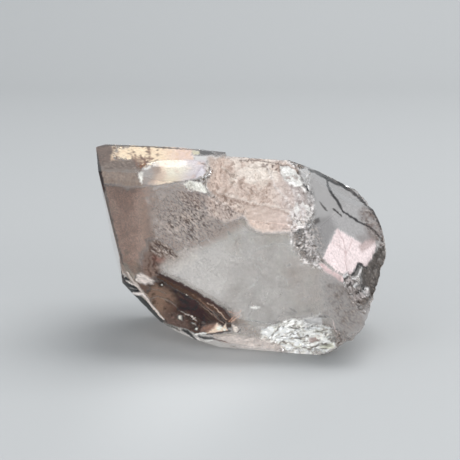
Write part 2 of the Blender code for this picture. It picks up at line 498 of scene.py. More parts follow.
# Thin dark lines and cracks: points, width, colour, strength.
CRACKS = [
    ([(96.5, 155), (98.8, 168), (101.6, 182), (104, 192)], 4.6, (72, 58, 51), 0.97),
    ([(96, 155), (97, 164), (99, 172)], 3.0, (54, 45, 41), 0.9),
    ([(103.5, 190), (107.8, 207), (115, 237), (122.5, 264)], 1.6, (92, 80, 72), 0.95),
    ([(94, 153), (98, 155)], 2.0, (60, 54, 50), 0.95),
    ([(327.5, 179), (328.5, 187), (332, 194), (337, 200.5), (340, 207), (344, 212.5)], 2.9, (46, 42, 41), 0.97),
    ([(343, 211.5), (352, 217), (360, 222.5), (367, 226.5)], 2.6, (46, 42, 41), 0.97),
    ([(365, 225), (374, 231), (379, 236), (384, 241)], 2.2, (58, 50, 47), 0.95),
    ([(320, 202), (322.5, 206), (327, 210.5)], 1.7, (64, 60, 58), 0.95),
    ([(333, 209), (337.5, 212), (341.5, 216)], 1.8, (58, 54, 52), 0.95),
    ([(309, 169.6), (319, 173.4), (328, 177.6), (336, 181.6), (344, 185.6), (352, 190)], 4.6, (42, 38, 37), 1.0),
    ([(348, 187.5), (356, 193.5), (364, 201), (371, 209), (377, 218), (381, 228)], 3.4, (56, 50, 48), 0.98),
    ([(379, 215), (383, 224), (385, 233), (385, 241)], 1.8, (74, 62, 58), 0.9),
    ([(384.5, 246), (384, 260), (381, 276), (375, 290), (366, 301)], 2.0, (70, 64, 60), 0.85),
    ([(303, 181.5), (307, 186), (312, 192.5)], 2.2, (50, 45, 43), 0.97),
    ([(297, 169), (302, 176), (305, 181)], 1.3, (78, 70, 67), 0.9),
    ([(353, 276), (356, 269), (358.8, 263.2), (368, 267.8)], 2.6, (56, 51, 49), 0.98),
    ([(344, 281), (347, 278.5), (350, 276)], 3.0, (66, 62, 60), 0.95),
    ([(168, 222), (171, 225), (173.5, 228)], 2.0, (70, 55, 49), 0.95),
    ([(171, 214), (173, 216)], 1.8, (76, 61, 54), 0.9),
    ([(181, 215), (183, 217)], 1.8, (76, 61, 54), 0.9),
    ([(186, 220), (189, 223), (192, 225)], 1.6, (72, 58, 51), 0.92),
    ([(190.5, 227), (193, 229)], 1.5, (80, 64, 58), 0.9),
    ([(186, 238.5), (188, 241)], 1.5, (84, 68, 61), 0.85),
    ([(222, 222), (228, 228)], 0.9, (120, 112, 105), 0.7),
    ([(228, 232), (231, 235)], 1.1, (104, 98, 92), 0.85),
    ([(232, 249), (235, 246), (236, 241), (239, 238)], 1.5, (124, 110, 98), 0.75),
    ([(239, 242), (243, 240)], 1.6, (122, 108, 98), 0.7),
    ([(201, 242), (206, 239), (209, 239.5)], 0.9, (136, 126, 118), 0.75),
    ([(197, 249), (204, 250)], 0.9, (138, 130, 122), 0.7),
    ([(188, 192), (196, 191.6), (204, 193.6), (210, 196)], 1.0, (86, 70, 62), 0.85),
    ([(226, 223), (228, 220), (233, 216), (240, 214)], 0.8, (132, 124, 117), 0.7),
    ([(262, 300), (266, 303)], 0.9, (142, 136, 130), 0.7),
    ([(255, 265), (260, 268), (262, 272)], 0.8, (150, 145, 139), 0.6),
    ([(281, 276), (286, 280), (287, 286)], 0.8, (146, 139, 133), 0.6),
    ([(302, 300), (306, 297), (312, 296)], 0.9, (132, 124, 119), 0.7),
    ([(324, 300), (330, 296), (338, 296)], 0.9, (106, 98, 93), 0.7),
    ([(183, 231), (190, 235), (199, 241)], 2.2, (72, 58, 53), 0.95),
    ([(155, 243), (158, 246), (163, 248.5), (169, 251), (173, 255), (178, 257.5)], 2.0, (62, 47, 41), 0.95),
    ([(150, 246.5), (154, 250), (159, 252.5), (164, 254)], 1.6, (64, 50, 44), 0.95),
    ([(160, 244.5), (165, 246.5), (170, 250.5)], 1.4, (76, 60, 53), 0.9),
    ([(153, 254), (156, 258), (154, 263), (155, 267)], 2.4, (84, 62, 55), 0.8),
    ([(148, 258), (150, 263), (148, 268)], 2.0, (92, 74, 66), 0.8),
    ([(142, 185), (155, 185.8), (168, 184), (183, 181)], 1.1, (96, 82, 76), 0.9),
    ([(139, 171), (143, 167), (148, 163), (158, 160)], 1.2, (98, 82, 76), 0.8),
    ([(200, 162), (206, 165)], 1.0, (112, 98, 94), 0.8),
    ([(203, 167), (208, 172), (212, 178)], 1.2, (104, 90, 84), 0.85),
    ([(197, 178.5), (202, 178), (207, 174.5)], 1.2, (96, 82, 78), 0.85),
    ([(202, 180.5), (208, 182.5), (213, 183)], 1.0, (110, 94, 88), 0.8),
    ([(336, 309), (346, 308), (354, 306), (362, 308)], 1.1, (104, 95, 91), 0.8),
    ([(289, 308.5), (294, 310), (297, 312.5)], 1.8, (96, 90, 87), 0.85),
    ([(294, 318), (304, 317.3), (312, 315)], 1.1, (112, 105, 100), 0.8),
    ([(318.5, 316.5), (323, 316.5), (328, 316.8)], 2.2, (80, 75, 72), 0.9),
    ([(311, 313), (312, 315.5)], 1.4, (96, 90, 86), 0.85),
    ([(316, 326.5), (320.5, 328)], 1.4, (88, 82, 78), 0.85),
    ([(319, 294), (321, 296)], 1.2, (110, 102, 98), 0.8),
    ([(269, 342.5), (273, 336), (279, 329.5), (284, 326.5), (287, 325)], 1.4, (88, 82, 75), 0.95),
    ([(285, 326.5), (288, 325)], 2.6, (70, 65, 60), 0.95),
    ([(288, 328.5), (293, 330), (298, 328.5)], 2.0, (112, 105, 95), 0.9),
    ([(304, 327.4), (312, 326.8), (319, 326.3)], 1.2, (96, 93, 89), 0.92),
    ([(317, 326), (319.5, 327.5)], 2.3, (70, 67, 64), 0.92),
    ([(306, 334), (317, 334), (327, 334.8)], 1.0, (136, 131, 123), 0.9),
    ([(287, 337), (289.5, 340.5), (293, 341)], 1.2, (120, 113, 104), 0.9),
    ([(289, 344.5), (293, 346.5), (297, 349)], 2.1, (136, 129, 121), 0.85),
    ([(299, 343), (303, 341), (307, 342)], 1.0, (104, 97, 89), 0.85),
    ([(308, 350), (312, 348), (319, 346.2)], 1.6, (94, 87, 79), 0.92),
    ([(311, 351), (315, 351.5)], 1.8, (88, 82, 75), 0.9),
    ([(277, 346.5), (280, 345.5)], 1.6, (112, 105, 97), 0.9),
    ([(298, 335), (301, 338), (300, 340)], 1.3, (110, 103, 94), 0.85),
    ([(281, 342.5), (284, 341)], 1.2, (126, 119, 110), 0.85),
    ([(322, 341), (326, 343), (330, 342)], 0.9, (132, 126, 117), 0.8),
    ([(249, 306), (252, 311), (248, 316)], 1.6, (92, 84, 78), 0.85),
    ([(306, 333), (320, 334), (330, 335)], 1.0, (128, 126, 118), 0.75),
    ([(252, 253), (262, 247), (274, 244), (288, 244)], 1.0, (146, 140, 132), 0.5),
    ([(236.5, 333), (240.5, 330)], 1.6, (40, 34, 32), 0.95),
    ([(228, 213), (233, 215)], 1.2, (108, 90, 82), 0.8),
    ([(230, 207), (235, 212)], 1.2, (112, 94, 86), 0.8),
    ([(226, 169), (231, 173), (234, 176)], 1.2, (142, 120, 108), 0.8),
    ([(250, 187), (254, 190), (257, 192)], 1.1, (140, 120, 108), 0.8),
    ([(240, 158.6), (262, 159.8), (276, 162), (288, 164.5), (297, 168)], 1.4, (112, 96, 88), 0.85),
    ([(98, 146.5), (104, 145.2), (140, 146.2), (182, 148.8), (200, 150.4)], 1.5, (84, 70, 64), 0.95),
    ([(131, 293.5), (136.5, 297.3), (144, 303.6), (151, 311), (157, 317.4), (161.5, 321)], 6.6, (44, 37, 34), 1.0),
    ([(122, 276), (124.5, 283), (128, 289), (133, 294)], 3.2, (60, 53, 50), 0.95),
    ([(125, 278.5), (128.5, 280)], 2.4, (46, 40, 38), 0.97),
    ([(124, 284), (131, 286), (138, 288.5)], 3.0, (46, 40, 38), 0.97),
    ([(128, 289), (134, 291), (140, 291)], 2.6, (46, 40, 38), 0.97),
    ([(162, 323.5), (172, 327), (180, 330.5)], 1.6, (92, 90, 84), 0.85),
    ([(207, 334), (222, 332), (230, 331)], 1.3, (56, 46, 44), 0.9),
    ([(183, 330), (189, 333), (196, 340)], 2.6, (46, 40, 38), 0.95),
    ([(199, 336.5), (206, 338), (214, 339)], 2.6, (52, 44, 42), 0.95),
    ([(214, 339), (221, 340.5), (229, 343)], 1.3, (84, 68, 62), 0.9),
    ([(156, 272.5), (176, 282.8), (194, 291.8), (212.5, 303.6), (224.5, 311), (230.5, 321)], 4.4, (70, 56, 49), 1.0),
    ([(158, 277), (175, 286), (192, 295), (211, 307), (222, 314), (228, 322)], 5.4, (76, 61, 54), 1.0),
    ([(95.6, 152), (97.6, 161), (100.2, 172), (102.8, 182), (105.0, 192)], 2.2, (56, 46, 42), 0.92),
    ([(103.4, 185), (108.6, 207), (115.6, 236), (122.0, 260)], 1.3, (84, 72, 65), 0.8),
]
# Thin pale lines: scratches and healed cracks, and painted glints (highlights) where edges and splinters catch the
# light.
SCRATCHES_AND_PAINTED_GLINTS = [
    ([(152, 245.5), (158, 250), (166, 252), (171, 255), (175, 258.5)], 0.6, (216, 202, 193), 0.85),
    ([(151, 250), (158, 254), (162, 257)], 0.6, (206, 192, 183), 0.8),
    ([(160, 246.5), (167, 249.5), (172, 252.5)], 0.5, (190, 175, 166), 0.7),
    ([(166, 228.5), (169, 231.5), (172, 233.5)], 1.2, (222, 210, 202), 0.9),
    ([(174, 228), (178, 231.5)], 1.0, (214, 202, 194), 0.85),
    ([(183, 246), (190, 252), (196, 259), (202, 265)], 0.8, (212, 208, 202), 0.6),
    ([(154, 231), (160, 236)], 0.9, (198, 184, 175), 0.7),
    ([(185, 216), (190, 220), (196, 225)], 0.9, (212, 198, 188), 0.8),
    ([(222, 210), (224, 216), (224.5, 225)], 0.9, (206, 194, 186), 0.6),
    ([(200, 210), (210, 212), (218, 219), (224, 221)], 0.9, (208, 192, 184), 0.7),
    ([(206, 205), (213, 212)], 0.9, (206, 190, 182), 0.7),
    ([(302, 319.5), (312, 317), (320, 314)], 1.0, (210, 207, 202), 0.75),
    ([(247, 290), (252, 286), (256, 282)], 1.1, (198, 196, 190), 0.35),
    ([(254, 295), (258, 296)], 1.4, (198, 196, 190), 0.4),
    ([(207, 303), (213, 306), (219, 311.5), (227, 320)], 0.8, (186, 164, 150), 0.85),
    ([(192, 295), (204, 303), (212, 312), (220, 321)], 0.6, (124, 102, 90), 0.7),
    ([(198, 298), (208, 307), (217, 316)], 0.6, (116, 94, 84), 0.7),
    ([(148, 302), (152, 298.5), (158, 296.8), (164, 298.5), (171, 302), (176, 305)], 0.7, (164, 144, 131), 0.7),
    ([(181, 311), (186, 314), (192, 316.5), (197, 321)], 0.8, (190, 172, 162), 0.85),
    ([(193, 319), (196, 317)], 0.8, (214, 200, 192), 0.8),
    ([(152, 289), (166, 293)], 0.6, (160, 141, 128), 0.5),
    ([(194, 177.5), (202, 166)], 0.9, (190, 178, 190), 0.7),
    ([(249, 224), (258, 230), (270, 231), (284, 230)], 1.1, (236, 220, 208), 0.5),
    ([(362, 266.5), (359.5, 273.5), (356.5, 280)], 1.4, (250, 245, 243), 0.97),
    ([(286, 351.5), (302, 352.5), (318, 353), (328, 351)], 1.2, (250, 250, 246), 0.9),
    ([(251, 307.5), (260, 307.5)], 1.6, (248, 246, 240), 0.9),
    ([(333, 321), (336, 334)], 1.4, (216, 196, 190), 0.7),
    ([(195, 334), (206, 333.3)], 1.5, (244, 234, 228), 0.9),
    ([(205, 340.6), (212, 341)], 1.2, (240, 232, 226), 0.85),
    ([(196, 337), (200, 340.5)], 1.5, (226, 214, 208), 0.8),
    ([(133, 293), (138, 294), (143, 294), (146, 298)], 2.4, (228, 216, 210), 0.95),
    ([(129, 283), (134, 284.6), (138, 287)], 1.1, (222, 212, 206), 0.9),
    ([(145.5, 297), (150, 303.5), (155, 310), (160, 316), (163.5, 319)], 2.4, (206, 193, 186), 0.95),
    ([(127, 272), (130, 277), (135, 283), (139, 288), (143, 293)], 2.6, (198, 186, 178), 0.75),
    ([(126, 281), (130, 282.5)], 0.9, (214, 206, 200), 0.85),
    ([(228, 311), (233, 313), (237, 313)], 1.0, (166, 124, 104), 0.85),
    ([(229, 322), (235, 316), (241, 310.5)], 1.0, (182, 142, 122), 0.9),
    ([(231, 322.5), (237, 317.5), (241, 315)], 0.9, (196, 160, 140), 0.9),
    ([(232, 309), (236, 312), (240, 317)], 0.8, (132, 96, 82), 0.8),
    # fan of splinters on the broken foot, drawn as painted glints
    ([(271, 342), (275, 336), (281, 330.5), (287, 327)], 1.6, (246, 243, 234), 0.95),
    ([(274, 345), (279, 339), (285, 334), (294, 331)], 1.7, (250, 248, 240), 0.92),
    ([(278, 344), (284, 340), (292, 337)], 1.6, (246, 244, 236), 0.9),
    ([(304, 335.8), (314, 335), (322, 337), (327, 339)], 1.8, (254, 252, 246), 0.97),
    ([(311, 337), (319, 339.5), (326, 339.5)], 1.6, (252, 250, 242), 0.95),
    ([(288, 342.5), (294, 342.5), (297, 340.8)], 2.0, (252, 250, 244), 0.95),
    ([(295, 346), (299, 343.5), (302, 342)], 3.1, (254, 252, 247), 0.97),
    ([(289, 347), (293, 349.5), (297, 351)], 2.3, (250, 249, 243), 0.95),
    ([(302, 348), (305, 344.5), (309, 343)], 1.8, (250, 248, 242), 0.92),
    ([(280, 346.5), (285, 349), (289, 350.5)], 1.8, (246, 245, 240), 0.92),
    ([(286, 324.5), (289, 323)], 2.3, (250, 249, 243), 0.92),
    ([(296, 326), (300, 325), (302, 328)], 1.6, (248, 246, 238), 0.9),
    ([(310, 332), (322, 333), (328, 335)], 1.0, (236, 234, 226), 0.85),
    
]


def fine_marks(P, length):
    """Where an edge of some length meets thin lines on the skin (True), so the mesh must be finest there."""
    u, v = see(P)
    near = np.zeros(len(P), bool)
    reach = 1.2 + 2.0 * length
    for points, width, _, _ in SCRATCHES_AND_PAINTED_GLINTS + CRACKS:
        box = np.array(points)
        close = (u > box[:, 0].min() - 9) & (u < box[:, 0].max() + 9) & (v > box[:, 1].min() - 9) & (v < box[:, 1].max() + 9)
        if close.any():
            d, _ = near_line(points, u[close], v[close])
            near[close] |= d < width / 2 + reach[close]
    return near


def skin(P, N, front, soft, hard, slope):
    """Frost and fine marks on the crystal's surface: colour, cover, roughness, growth scales, and how dark it is behind."""
    k = Paint(P, lit(P, slope), 0.028)
    u, v = k.u, k.v
    # ----- top ledge, gold with brown mottling
    mottle = cloud(u * 0.20, v * 0.24, 1.0, 3, seed=46)
    fine = cloud(u * 0.5, v * 0.55, 3.0, 3, seed=47)
    upper = k.area([(96, 159), (141, 160), (143, 174), (144, 186), (128, 187), (112, 184), (102, 182)], 2.5)
    k.over((146, 131, 121), upper * np.clip(0.95 + 0.5 * mottle, 0, 1))
    k.over((172, 157, 146), upper * ramp(0.05, 0.4, fine + 0.5 * mottle) * 0.5)
    k.over((120, 102, 92), upper * ramp(0.10, 0.4, -fine + 0.3 * mottle) * 0.5)
    band = k.area([(98, 157), (124, 160), (137, 160), (143, 167), (139, 170), (124, 169), (104, 170)], 2.2)
    k.over((126, 108, 97), band * 0.97)
    k.over((92, 74, 65), band * ramp(0.05, 0.35, fine) * 0.9)
    k.over((176, 158, 146), band * ramp(0.05, 0.35, -fine + 0.4 * mottle) * 0.7)
    t = (u - 160) / 20 + 0.3 * cloud(u * 0.2, v * 0.2, 0, 3, seed=41)
    gold = k.area([(117, 145), (111, 148), (116, 151), (108, 154), (104, 159), (114, 157), (117, 149), (135, 145), (150, 146), (192, 148), (193, 161), (160, 161), (149, 165), (141, 166), (136, 159), (124, 158), (112, 157)], 1.6, rag=5.0)
    tint = np.clip(t, 0, 1)[:, None]
    k.over(k.hue((290, 262, 224))[None, :] * (1 - tint) + k.hue((270, 236, 218))[None, :] * tint, gold * 0.98)
    k.fill(LEDGE_GOLD, (262, 222, 184), 0.6, 1.2, mask=ramp(0.0, 0.4, -mottle))
    k.fill(LEDGE_GOLD, (300, 276, 236), 0.9, 1.0, mask=ramp(0.10, 0.35, cloud(u * 0.16, v * 0.30, 5.0, 3, seed=48)) * ramp(160, 140, u))
    dark = 0.75 * mottle + 0.5 * fine + 0.30 * np.exp(-((u - 140) / 8) ** 2) * ramp(149, 160, v) + 0.25 * np.exp(-((u - 113) / 4) ** 2) - 0.25 * ramp(158, 176, u)
    k.fill(LEDGE_GOLD, (158, 122, 100), 0.9, 2.0, mask=ramp(0.12, 0.32, dark))
    k.fill(LEDGE_GOLD, (100, 74, 62), 0.85, 2.0, mask=ramp(0.26, 0.42, dark))
    k.lines([[(131, 152), (134, 162)], [(138, 156), (140, 167)], [(148, 147), (149, 154)], [(127, 153.5), (131, 154)], [(144, 160), (147, 165)]],
            1.6, (128, 96, 80), 0.75, taper=0.5)
    k.lines([[(135, 154), (137, 166)], [(141, 155), (141, 168)], [(145, 157), (144, 166)], [(149, 146), (149.5, 157)], [(147, 158), (153, 158)]], 2.4, (140, 102, 84), 0.85, taper=0.4, rag=0.8)
    k.fill([(139, 158), (150, 157), (156, 160), (148, 165), (141, 168)], (150, 110, 90), 0.6, 2.0, mask=ramp(-0.2, 0.3, fine))
    k.fill([(155, 154), (158, 153.5), (160, 155), (157, 156.5)], (120, 86, 70), 0.8, 0.8)
    corner = k.area([(94, 144), (110, 144), (114, 150), (110, 161), (96, 166)], 2.0)
    k.over((122, 101, 90), corner)
    k.over((84, 67, 60), corner * ramp(0.05, 0.35, fine + 0.5 * mottle) * 0.8)
    k.over((164, 140, 124), corner * ramp(0.10, 0.4, -fine) * 0.7)
    k.line([(104, 182.2), (122, 183.4), (140, 185)], 3.0, (140, 125, 115), 0.97, soft=1.0)
    k.fill([(192, 150.5), (201, 151), (203, 153.5), (193, 155)], (246, 236, 200), 0.9, 0.6)
    k.fill([(199, 150), (210, 151), (219.5, 155.8), (207, 155), (200, 154.5)], (66, 58, 56), 0.97, 0.5)
    # ----- bright chip under the ledge
    t = np.clip((u - 140) / 62, 0, 1)
    k.over(k.hue((250, 232, 206))[None, :] * (1 - ramp(0.5, 0.85, t))[:, None] + k.hue((236, 226, 230))[None, :] * ramp(0.5, 0.85, t)[:, None],
           k.area(CHIP, 0.8) * ramp(0.14, 0.34, t) * 0.97)
    # painted highlight across the middle of the chip
    k.fill(CHIP, (255, 250, 232), 0.9, 1.5, mask=np.exp(-((u - 176) / 14) ** 2 - ((v - 171 + (u - 176) * 0.2) / 5.5) ** 2))
    k.fill(CHIP, (238, 206, 188), 0.6, 1.0, mask=ramp(0.0, 0.4, cloud(u * 0.09, v * 0.12, 0, 3, seed=44) + 0.3 * np.exp(-((u - 160) / 7) ** 2)))
    k.fill([(143, 173), (151, 166), (158, 163), (161, 170), (153, 184), (143, 184)], (158, 144, 136), 0.75, 2.0)
    k.fill([(138, 172.5), (143.5, 171.5), (143, 178), (142, 184), (140, 182)], (252, 248, 240), 1.0, 0.6)
    k.fill([(143, 169), (150, 165.5), (150, 168), (145, 170)], (252, 250, 244), 1.0, 0.6)
    k.fill([(150, 184.5), (154, 176), (162, 172), (166, 184)], (214, 190, 172), 0.6, 3.0)
    k.fill([(195, 177), (202, 166.5), (205.5, 172.5), (201, 176), (196, 178)], (244, 238, 244), 0.95, 0.5)
    k.fill([(192, 155.5), (214, 155.8), (224, 158), (217, 163), (206, 160), (196, 160)], (246, 243, 240), 0.9, 0.9)
    k.fill([(183, 184), (190, 180.5), (200, 182), (206, 187), (208, 193), (198, 191.5), (188, 190)], (248, 246, 236), 0.95, 0.8)
    k.over((168, 152, 142), k.area([(204, 162), (214, 164), (218, 178), (214, 194), (206, 190), (206, 176)], 2.0) * (0.35 + 0.5 * k.streaks(60, 7, 2.2, 45, -0.05, 0.3)))
    # ----- scaly silver texture: ground here, fine streaks by the material
    fish = k.area([(150, 190), (182, 187), (200, 194), (218, 204), (232, 214), (232, 226), (216, 238), (198, 246), (188, 256), (172, 262), (158, 254), (150, 230)], 9.0)
    core = np.exp(-((u - 188) / 30) ** 2 - ((v - 218) / 24) ** 2)
    k.over((132, 109, 94), fish * (0.35 + 0.5 * core) * np.clip(0.6 + 0.8 * cloud(u * 0.08, v * 0.08, 2.0, 3, seed=211), 0, 1))
    k.over((180, 160, 146), fish * (0.15 + 0.20 * core) * ramp(0.0, 0.5, cloud(u * 0.10, v * 0.08, 7.0, 3, seed=212)))
    scaly = fish * (0.45 + 0.55 * core) * (1 - k.area([(206, 186), (222, 190), (222, 206), (212, 208)], 2.0))
    upper = k.area([(144, 186), (184, 184), (186, 196), (176, 204), (146, 206)], 4.0)
    k.over((148, 133, 124), upper * k.streaks(-8, 9, 2.2, 215, 0.05, 0.35) * 0.5)
    k.over((186, 173, 165), upper * k.streaks(-8, 8, 2.0, 219, 0.12, 0.4) * 0.4)
    k.fill([(143, 252), (158, 248), (170, 258), (162, 266), (157, 275), (150, 279), (143, 274), (141, 262)], (124, 105, 96), 0.97, 2.5)
    k.fill([(153, 253), (164, 254), (168, 259), (160, 262), (152, 260)], (146, 106, 96), 0.75, 2.0)
    nest = k.area([(148, 241), (158, 239), (170, 246), (179, 257), (174, 260), (160, 258), (148, 252)], 2.0)
    k.over((112, 95, 86), nest * 0.95)
    k.over((70, 55, 48), nest * k.streaks(33, 12, 2.2, 221, 0.02, 0.22) * 0.85)
    k.over((166, 150, 140), nest * k.streaks(33, 12, 2.0, 222, 0.10, 0.30) * 0.6)
    below = k.area([(150, 214), (176, 216), (214, 244), (206, 252), (184, 264), (160, 256), (150, 240)], 6.0)
    k.over((198, 187, 179), below * k.streaks(44, 12, 1.5, 224, 0.12, 0.34) * 0.6)
    k.over((82, 65, 58), k.area([(143, 255), (158, 254), (161, 266), (155, 278), (145, 276)], 3.0) * ramp(0.02, 0.28, cloud((u + v) * 0.24, (v - u) * 0.24, 2.0, 3, seed=216)) * 0.85)
    for poly, amount, soft_edge in (
            ([(290, 212), (312, 214), (324, 246), (324, 264), (306, 266), (292, 248)], 0.50, 3.0),
            ([(279, 162), (292, 166), (301, 178), (312, 190), (315, 203), (311, 214), (296, 226), (290, 214), (292, 190), (280, 178)], 0.10, 3.0),
            ([(206, 194), (220, 197), (243, 200), (248, 214), (236, 224), (222, 226), (206, 216)], 0.55, 4.0),
            ([(210, 158), (262, 158), (286, 164), (292, 200), (282, 214), (240, 206), (216, 192)], 0.16, 8.0),
            ([(344, 274), (358, 276), (361, 286), (371, 289), (371, 298), (361, 305), (350, 296)], 0.12, 2.0),
            ([(364, 266), (374, 256), (388, 244), (388, 268), (378, 294), (364, 306), (358, 302), (370, 294)], 0.14, 2.0),
            ([(359, 208), (371, 204), (384, 216), (391, 238), (382, 246), (366, 232)], 0.18, 4.0),
            ([(300, 286), (322, 276), (346, 286), (364, 302), (360, 326), (342, 336), (328, 322), (306, 312)], 0.34, 9.0),
            ([(180, 264), (206, 246), (236, 228), (262, 234), (292, 236), (304, 260), (322, 280), (300, 314), (264, 324), (238, 316), (206, 296)], 0.13, 10.0),
            ([(106, 162), (140, 166), (146, 186), (150, 230), (144, 270), (124, 262), (108, 206)], 0.04, 8.0)):
        scaly = np.maximum(scaly, amount * k.area(poly, soft_edge))
    # ----- brown patch below the chip and folds under the peach break
    brown = k.area([(178, 190), (188, 191), (200, 193), (212, 197), (219, 199), (219, 206), (206, 207), (196, 212), (182, 206)], 2.0)
    k.over((124, 104, 95), brown * 0.65)
    k.over((172, 152, 142), brown * k.streaks(25, 5, 1.8, 217, 0.08, 0.3) * 0.75)
    k.over((92, 74, 68), brown * k.spots(3.0, 0.3, 220, 30, 1.6) * 0.7)
    k.fill([(212, 196), (219, 196.5), (219.5, 207), (215, 206)], (84, 62, 54), 0.92, 0.8)
    fold = k.area([(206, 196), (220, 198), (243, 201), (247, 214), (238, 219), (226, 222), (208, 216)], 2.5)
    k.over((190, 171, 161), fold * 0.95)
    k.over((228, 211, 202), fold * k.streaks(14, 11, 3.4, 234, 0.02, 0.35) * 0.85)
    k.over((116, 97, 88), fold * k.streaks(10, 9, 3.2, 235, 0.10, 0.36) * 0.8)
    k.line([(219, 197), (226, 201), (231, 207), (240, 209), (245, 215)], 2.6, (232, 216, 208), 0.8, soft=1.0, rag=1.2)
    k.line([(228, 204), (232, 210), (230, 215)], 2.2, (122, 101, 93), 0.75, soft=1.0, rag=1.0)
    k.line([(206, 206), (214, 209), (222, 212), (229, 213)], 1.6, (204, 188, 179), 0.75, soft=0.8, rag=1.0)
    # ----- peach break
    zone = k.area([(208, 157), (226, 156), (262, 157), (286, 160), (297, 167), (305, 186), (308, 205), (303, 222), (292, 231), (262, 232),
                   (250, 226), (243, 213), (232, 206), (222, 200), (216, 195), (209, 188), (211, 178), (214, 172), (209, 164)], 3.0)
    n1 = cloud(u * 0.07, v * 0.08, 2.0, 4, seed=51)
    n2 = cloud(u * 0.18, v * 0.24, 3.0, 3, seed=52)
    k.over((224, 202, 189), zone)
    k.over((194, 170, 156), zone * ramp(-0.05, 0.35, -n1) * 0.75)
    # cream patches, brightest in a painted highlight at the top centre of the break
    k.over((258, 246, 234), zone * ramp(0.05, 0.55, 0.6 * n1 + 0.95 * np.exp(-((u - 258) / 17) ** 2 - ((v - 171) / 12) ** 2) + 0.35 * n2) * 0.9)
    k.over((240, 222, 208), zone * ramp(0.1, 0.5, n2) * 0.7)
    k.over((168, 142, 127), zone * ramp(0.10, 0.42, -n2) * np.clip(0.25 + np.exp(-((v - 197 - 0.05 * (u - 250)) / 9) ** 2), 0, 1) * 0.65)
    k.over((120, 96, 84), zone * ramp(0.80, 0.93, cloud(u * 0.08, v * 0.14, 3.0, 3, seed=54, ridged=True)) * 0.5)
    k.over((200, 186, 182), zone * ramp(264, 290, u) * ramp(168, 184, v) * 0.6)
    k.over((250, 238, 232), zone * ramp(264, 290, u) * ramp(0.78, 0.92, cloud(u * 0.12, v * 0.12, 4.0, 3, seed=56, ridged=True)) * 0.8)
    k.over((150, 126, 114), zone * ramp(0.0, 0.4, n2) * np.exp(-((v - 163 - 0.08 * (u - 240)) / 3.0) ** 2) * ramp(240, 262, u) * 0.8)
    # a ridge of the break drawn in painted light: a painted highlight along it and a painted shadow just below it
    ridge = [(218, 189), (228, 194), (238, 197), (250, 200), (262, 203), (275, 205), (287, 209), (293, 216)]
    k.line([(a, b + 3.2) for a, b in ridge], 4.0, (158, 134, 121), 0.6, soft=1.5, rag=1.6)
    k.blend(TONGUE, (216, 194, 180), (220, 198, 188), (u - 245) / 40, 0.92, 1.6)
    k.line(ridge, 2.2, (252, 240, 230), 0.55, soft=1.0, rag=3.0)
    k.line([(a, b + 2.6) for a, b in ridge], 1.8, (150, 122, 108), 0.42, soft=0.9, rag=3.0)
    # painted highlights along two creases, with a painted shadow beside the smaller one
    k.line([(268, 166), (272, 176), (276, 186), (284, 194), (290, 204), (296, 214)], 2.0, (252, 243, 238), 0.6, soft=1.0, rag=2.2)
    k.line([(224, 166), (230, 172), (236, 178)], 1.6, (250, 240, 230), 0.6, soft=1.0, rag=1.5)
    k.line([(221, 170), (227, 176), (232, 181)], 1.3, (160, 134, 120), 0.5, soft=0.8, rag=1.5)
    k.fill(TONGUE, (180, 158, 146), 0.5, 2.0, mask=ramp(0.0, 0.45, cloud(u * 0.12, v * 0.2, 6.0, 3, seed=55)))
    k.fill(TONGUE, (232, 214, 202), 0.6, 1.5, mask=ramp(0.1, 0.45, cloud(u * 0.2, v * 0.24, 2.0, 3, seed=60)))
    k.over((116, 96, 90), k.area([(262, 160), (282, 162), (284, 168), (270, 170), (262, 165)], 2.0) * k.spots(2.8, 0.45, 233) * 0.9)
    # ----- white chipped band to the right of the peach break: pale chips, with painted sparkle (white flakes, lines and dots) and dark specks
    band = k.area([(279, 162), (292, 166), (301, 178), (311, 190), (314, 203), (311, 214), (305, 226), (296, 226), (290, 216), (296, 202), (292, 188), (281, 176)], 1.2)
    who, rim = k.flakes(2.8, 61, 55, 1.7)
    k.over((166, 158, 156), band * 0.6)
    k.over((226, 214, 210), band * ramp(0.30, 0.40, who) * 0.88)
    k.over((252, 249, 245), band * ramp(0.66, 0.74, who) * (1 - 0.7 * rim))
    k.over((92, 84, 80), band * ramp(0.10, 0.05, who) * 0.8)
    white = k.area([(279, 164), (290, 166), (299, 173), (305, 183), (311, 191), (303, 187), (294, 184), (285, 178)], 1.0)
    k.over((252, 251, 246), white * ramp(0.18, 0.3, who) * (1 - 0.5 * rim) * 0.97)
    mix = k.area([(292, 214), (312, 216), (322, 246), (322, 262), (306, 264), (294, 248)], 3.0)
    k.over((112, 103, 99), mix * k.streaks(60, 6, 2.0, 232, 0.12, 0.4) * 0.7)
    k.over((90, 82, 78), mix * k.spots(3.2, 0.30, 231) * 0.85)
    k.lines([[(312.5, 195), (314, 202), (311, 210)], [(291, 210), (297, 222), (305, 229), (311, 241), (316, 253), (320, 260)],
             [(292, 226), (292.5, 234), (291, 243)], [(300, 262), (312, 262), (320, 268)], [(301, 203), (303, 212), (304, 222)]],
            2.2, (251, 244, 242), 0.95, taper=0.3, rag=1.2)
    k.over((72, 65, 61), mix * k.spots(2.6, 0.34, 63) * 0.9)
    k.over((246, 238, 234), mix * k.spots(2.4, 0.26, 64) * 0.95)
    dots = k.spots(4.0, 0.42, 62) * k.area([(288, 205), (304, 214), (312, 236), (322, 258), (318, 268), (302, 262), (296, 246), (288, 244)], 1.5)
    k.over((248, 240, 238), dots * 0.95)
    # ----- clear grey cap
    k.fill([(309, 181), (312, 168), (331, 175), (352, 189), (374, 208), (382, 224), (378, 240), (362, 243), (337, 228), (322, 258), (318, 250), (313, 232), (315, 206), (312, 192)], (175, 172, 171), 0.92, 1.0)
    k.over((134, 131, 130), k.area([(313, 218), (330, 216), (337, 228), (322, 257), (317, 248), (312, 232)], 4.0) * 0.6)
    k.over((176, 174, 173), k.area([(330, 180), (346, 190), (338, 214), (330, 214), (334, 198)], 4.0) * 0.5)
    k.fill([(298, 169), (311, 168), (306, 181), (301, 178)], (208, 205, 203), 0.6, 0.8)
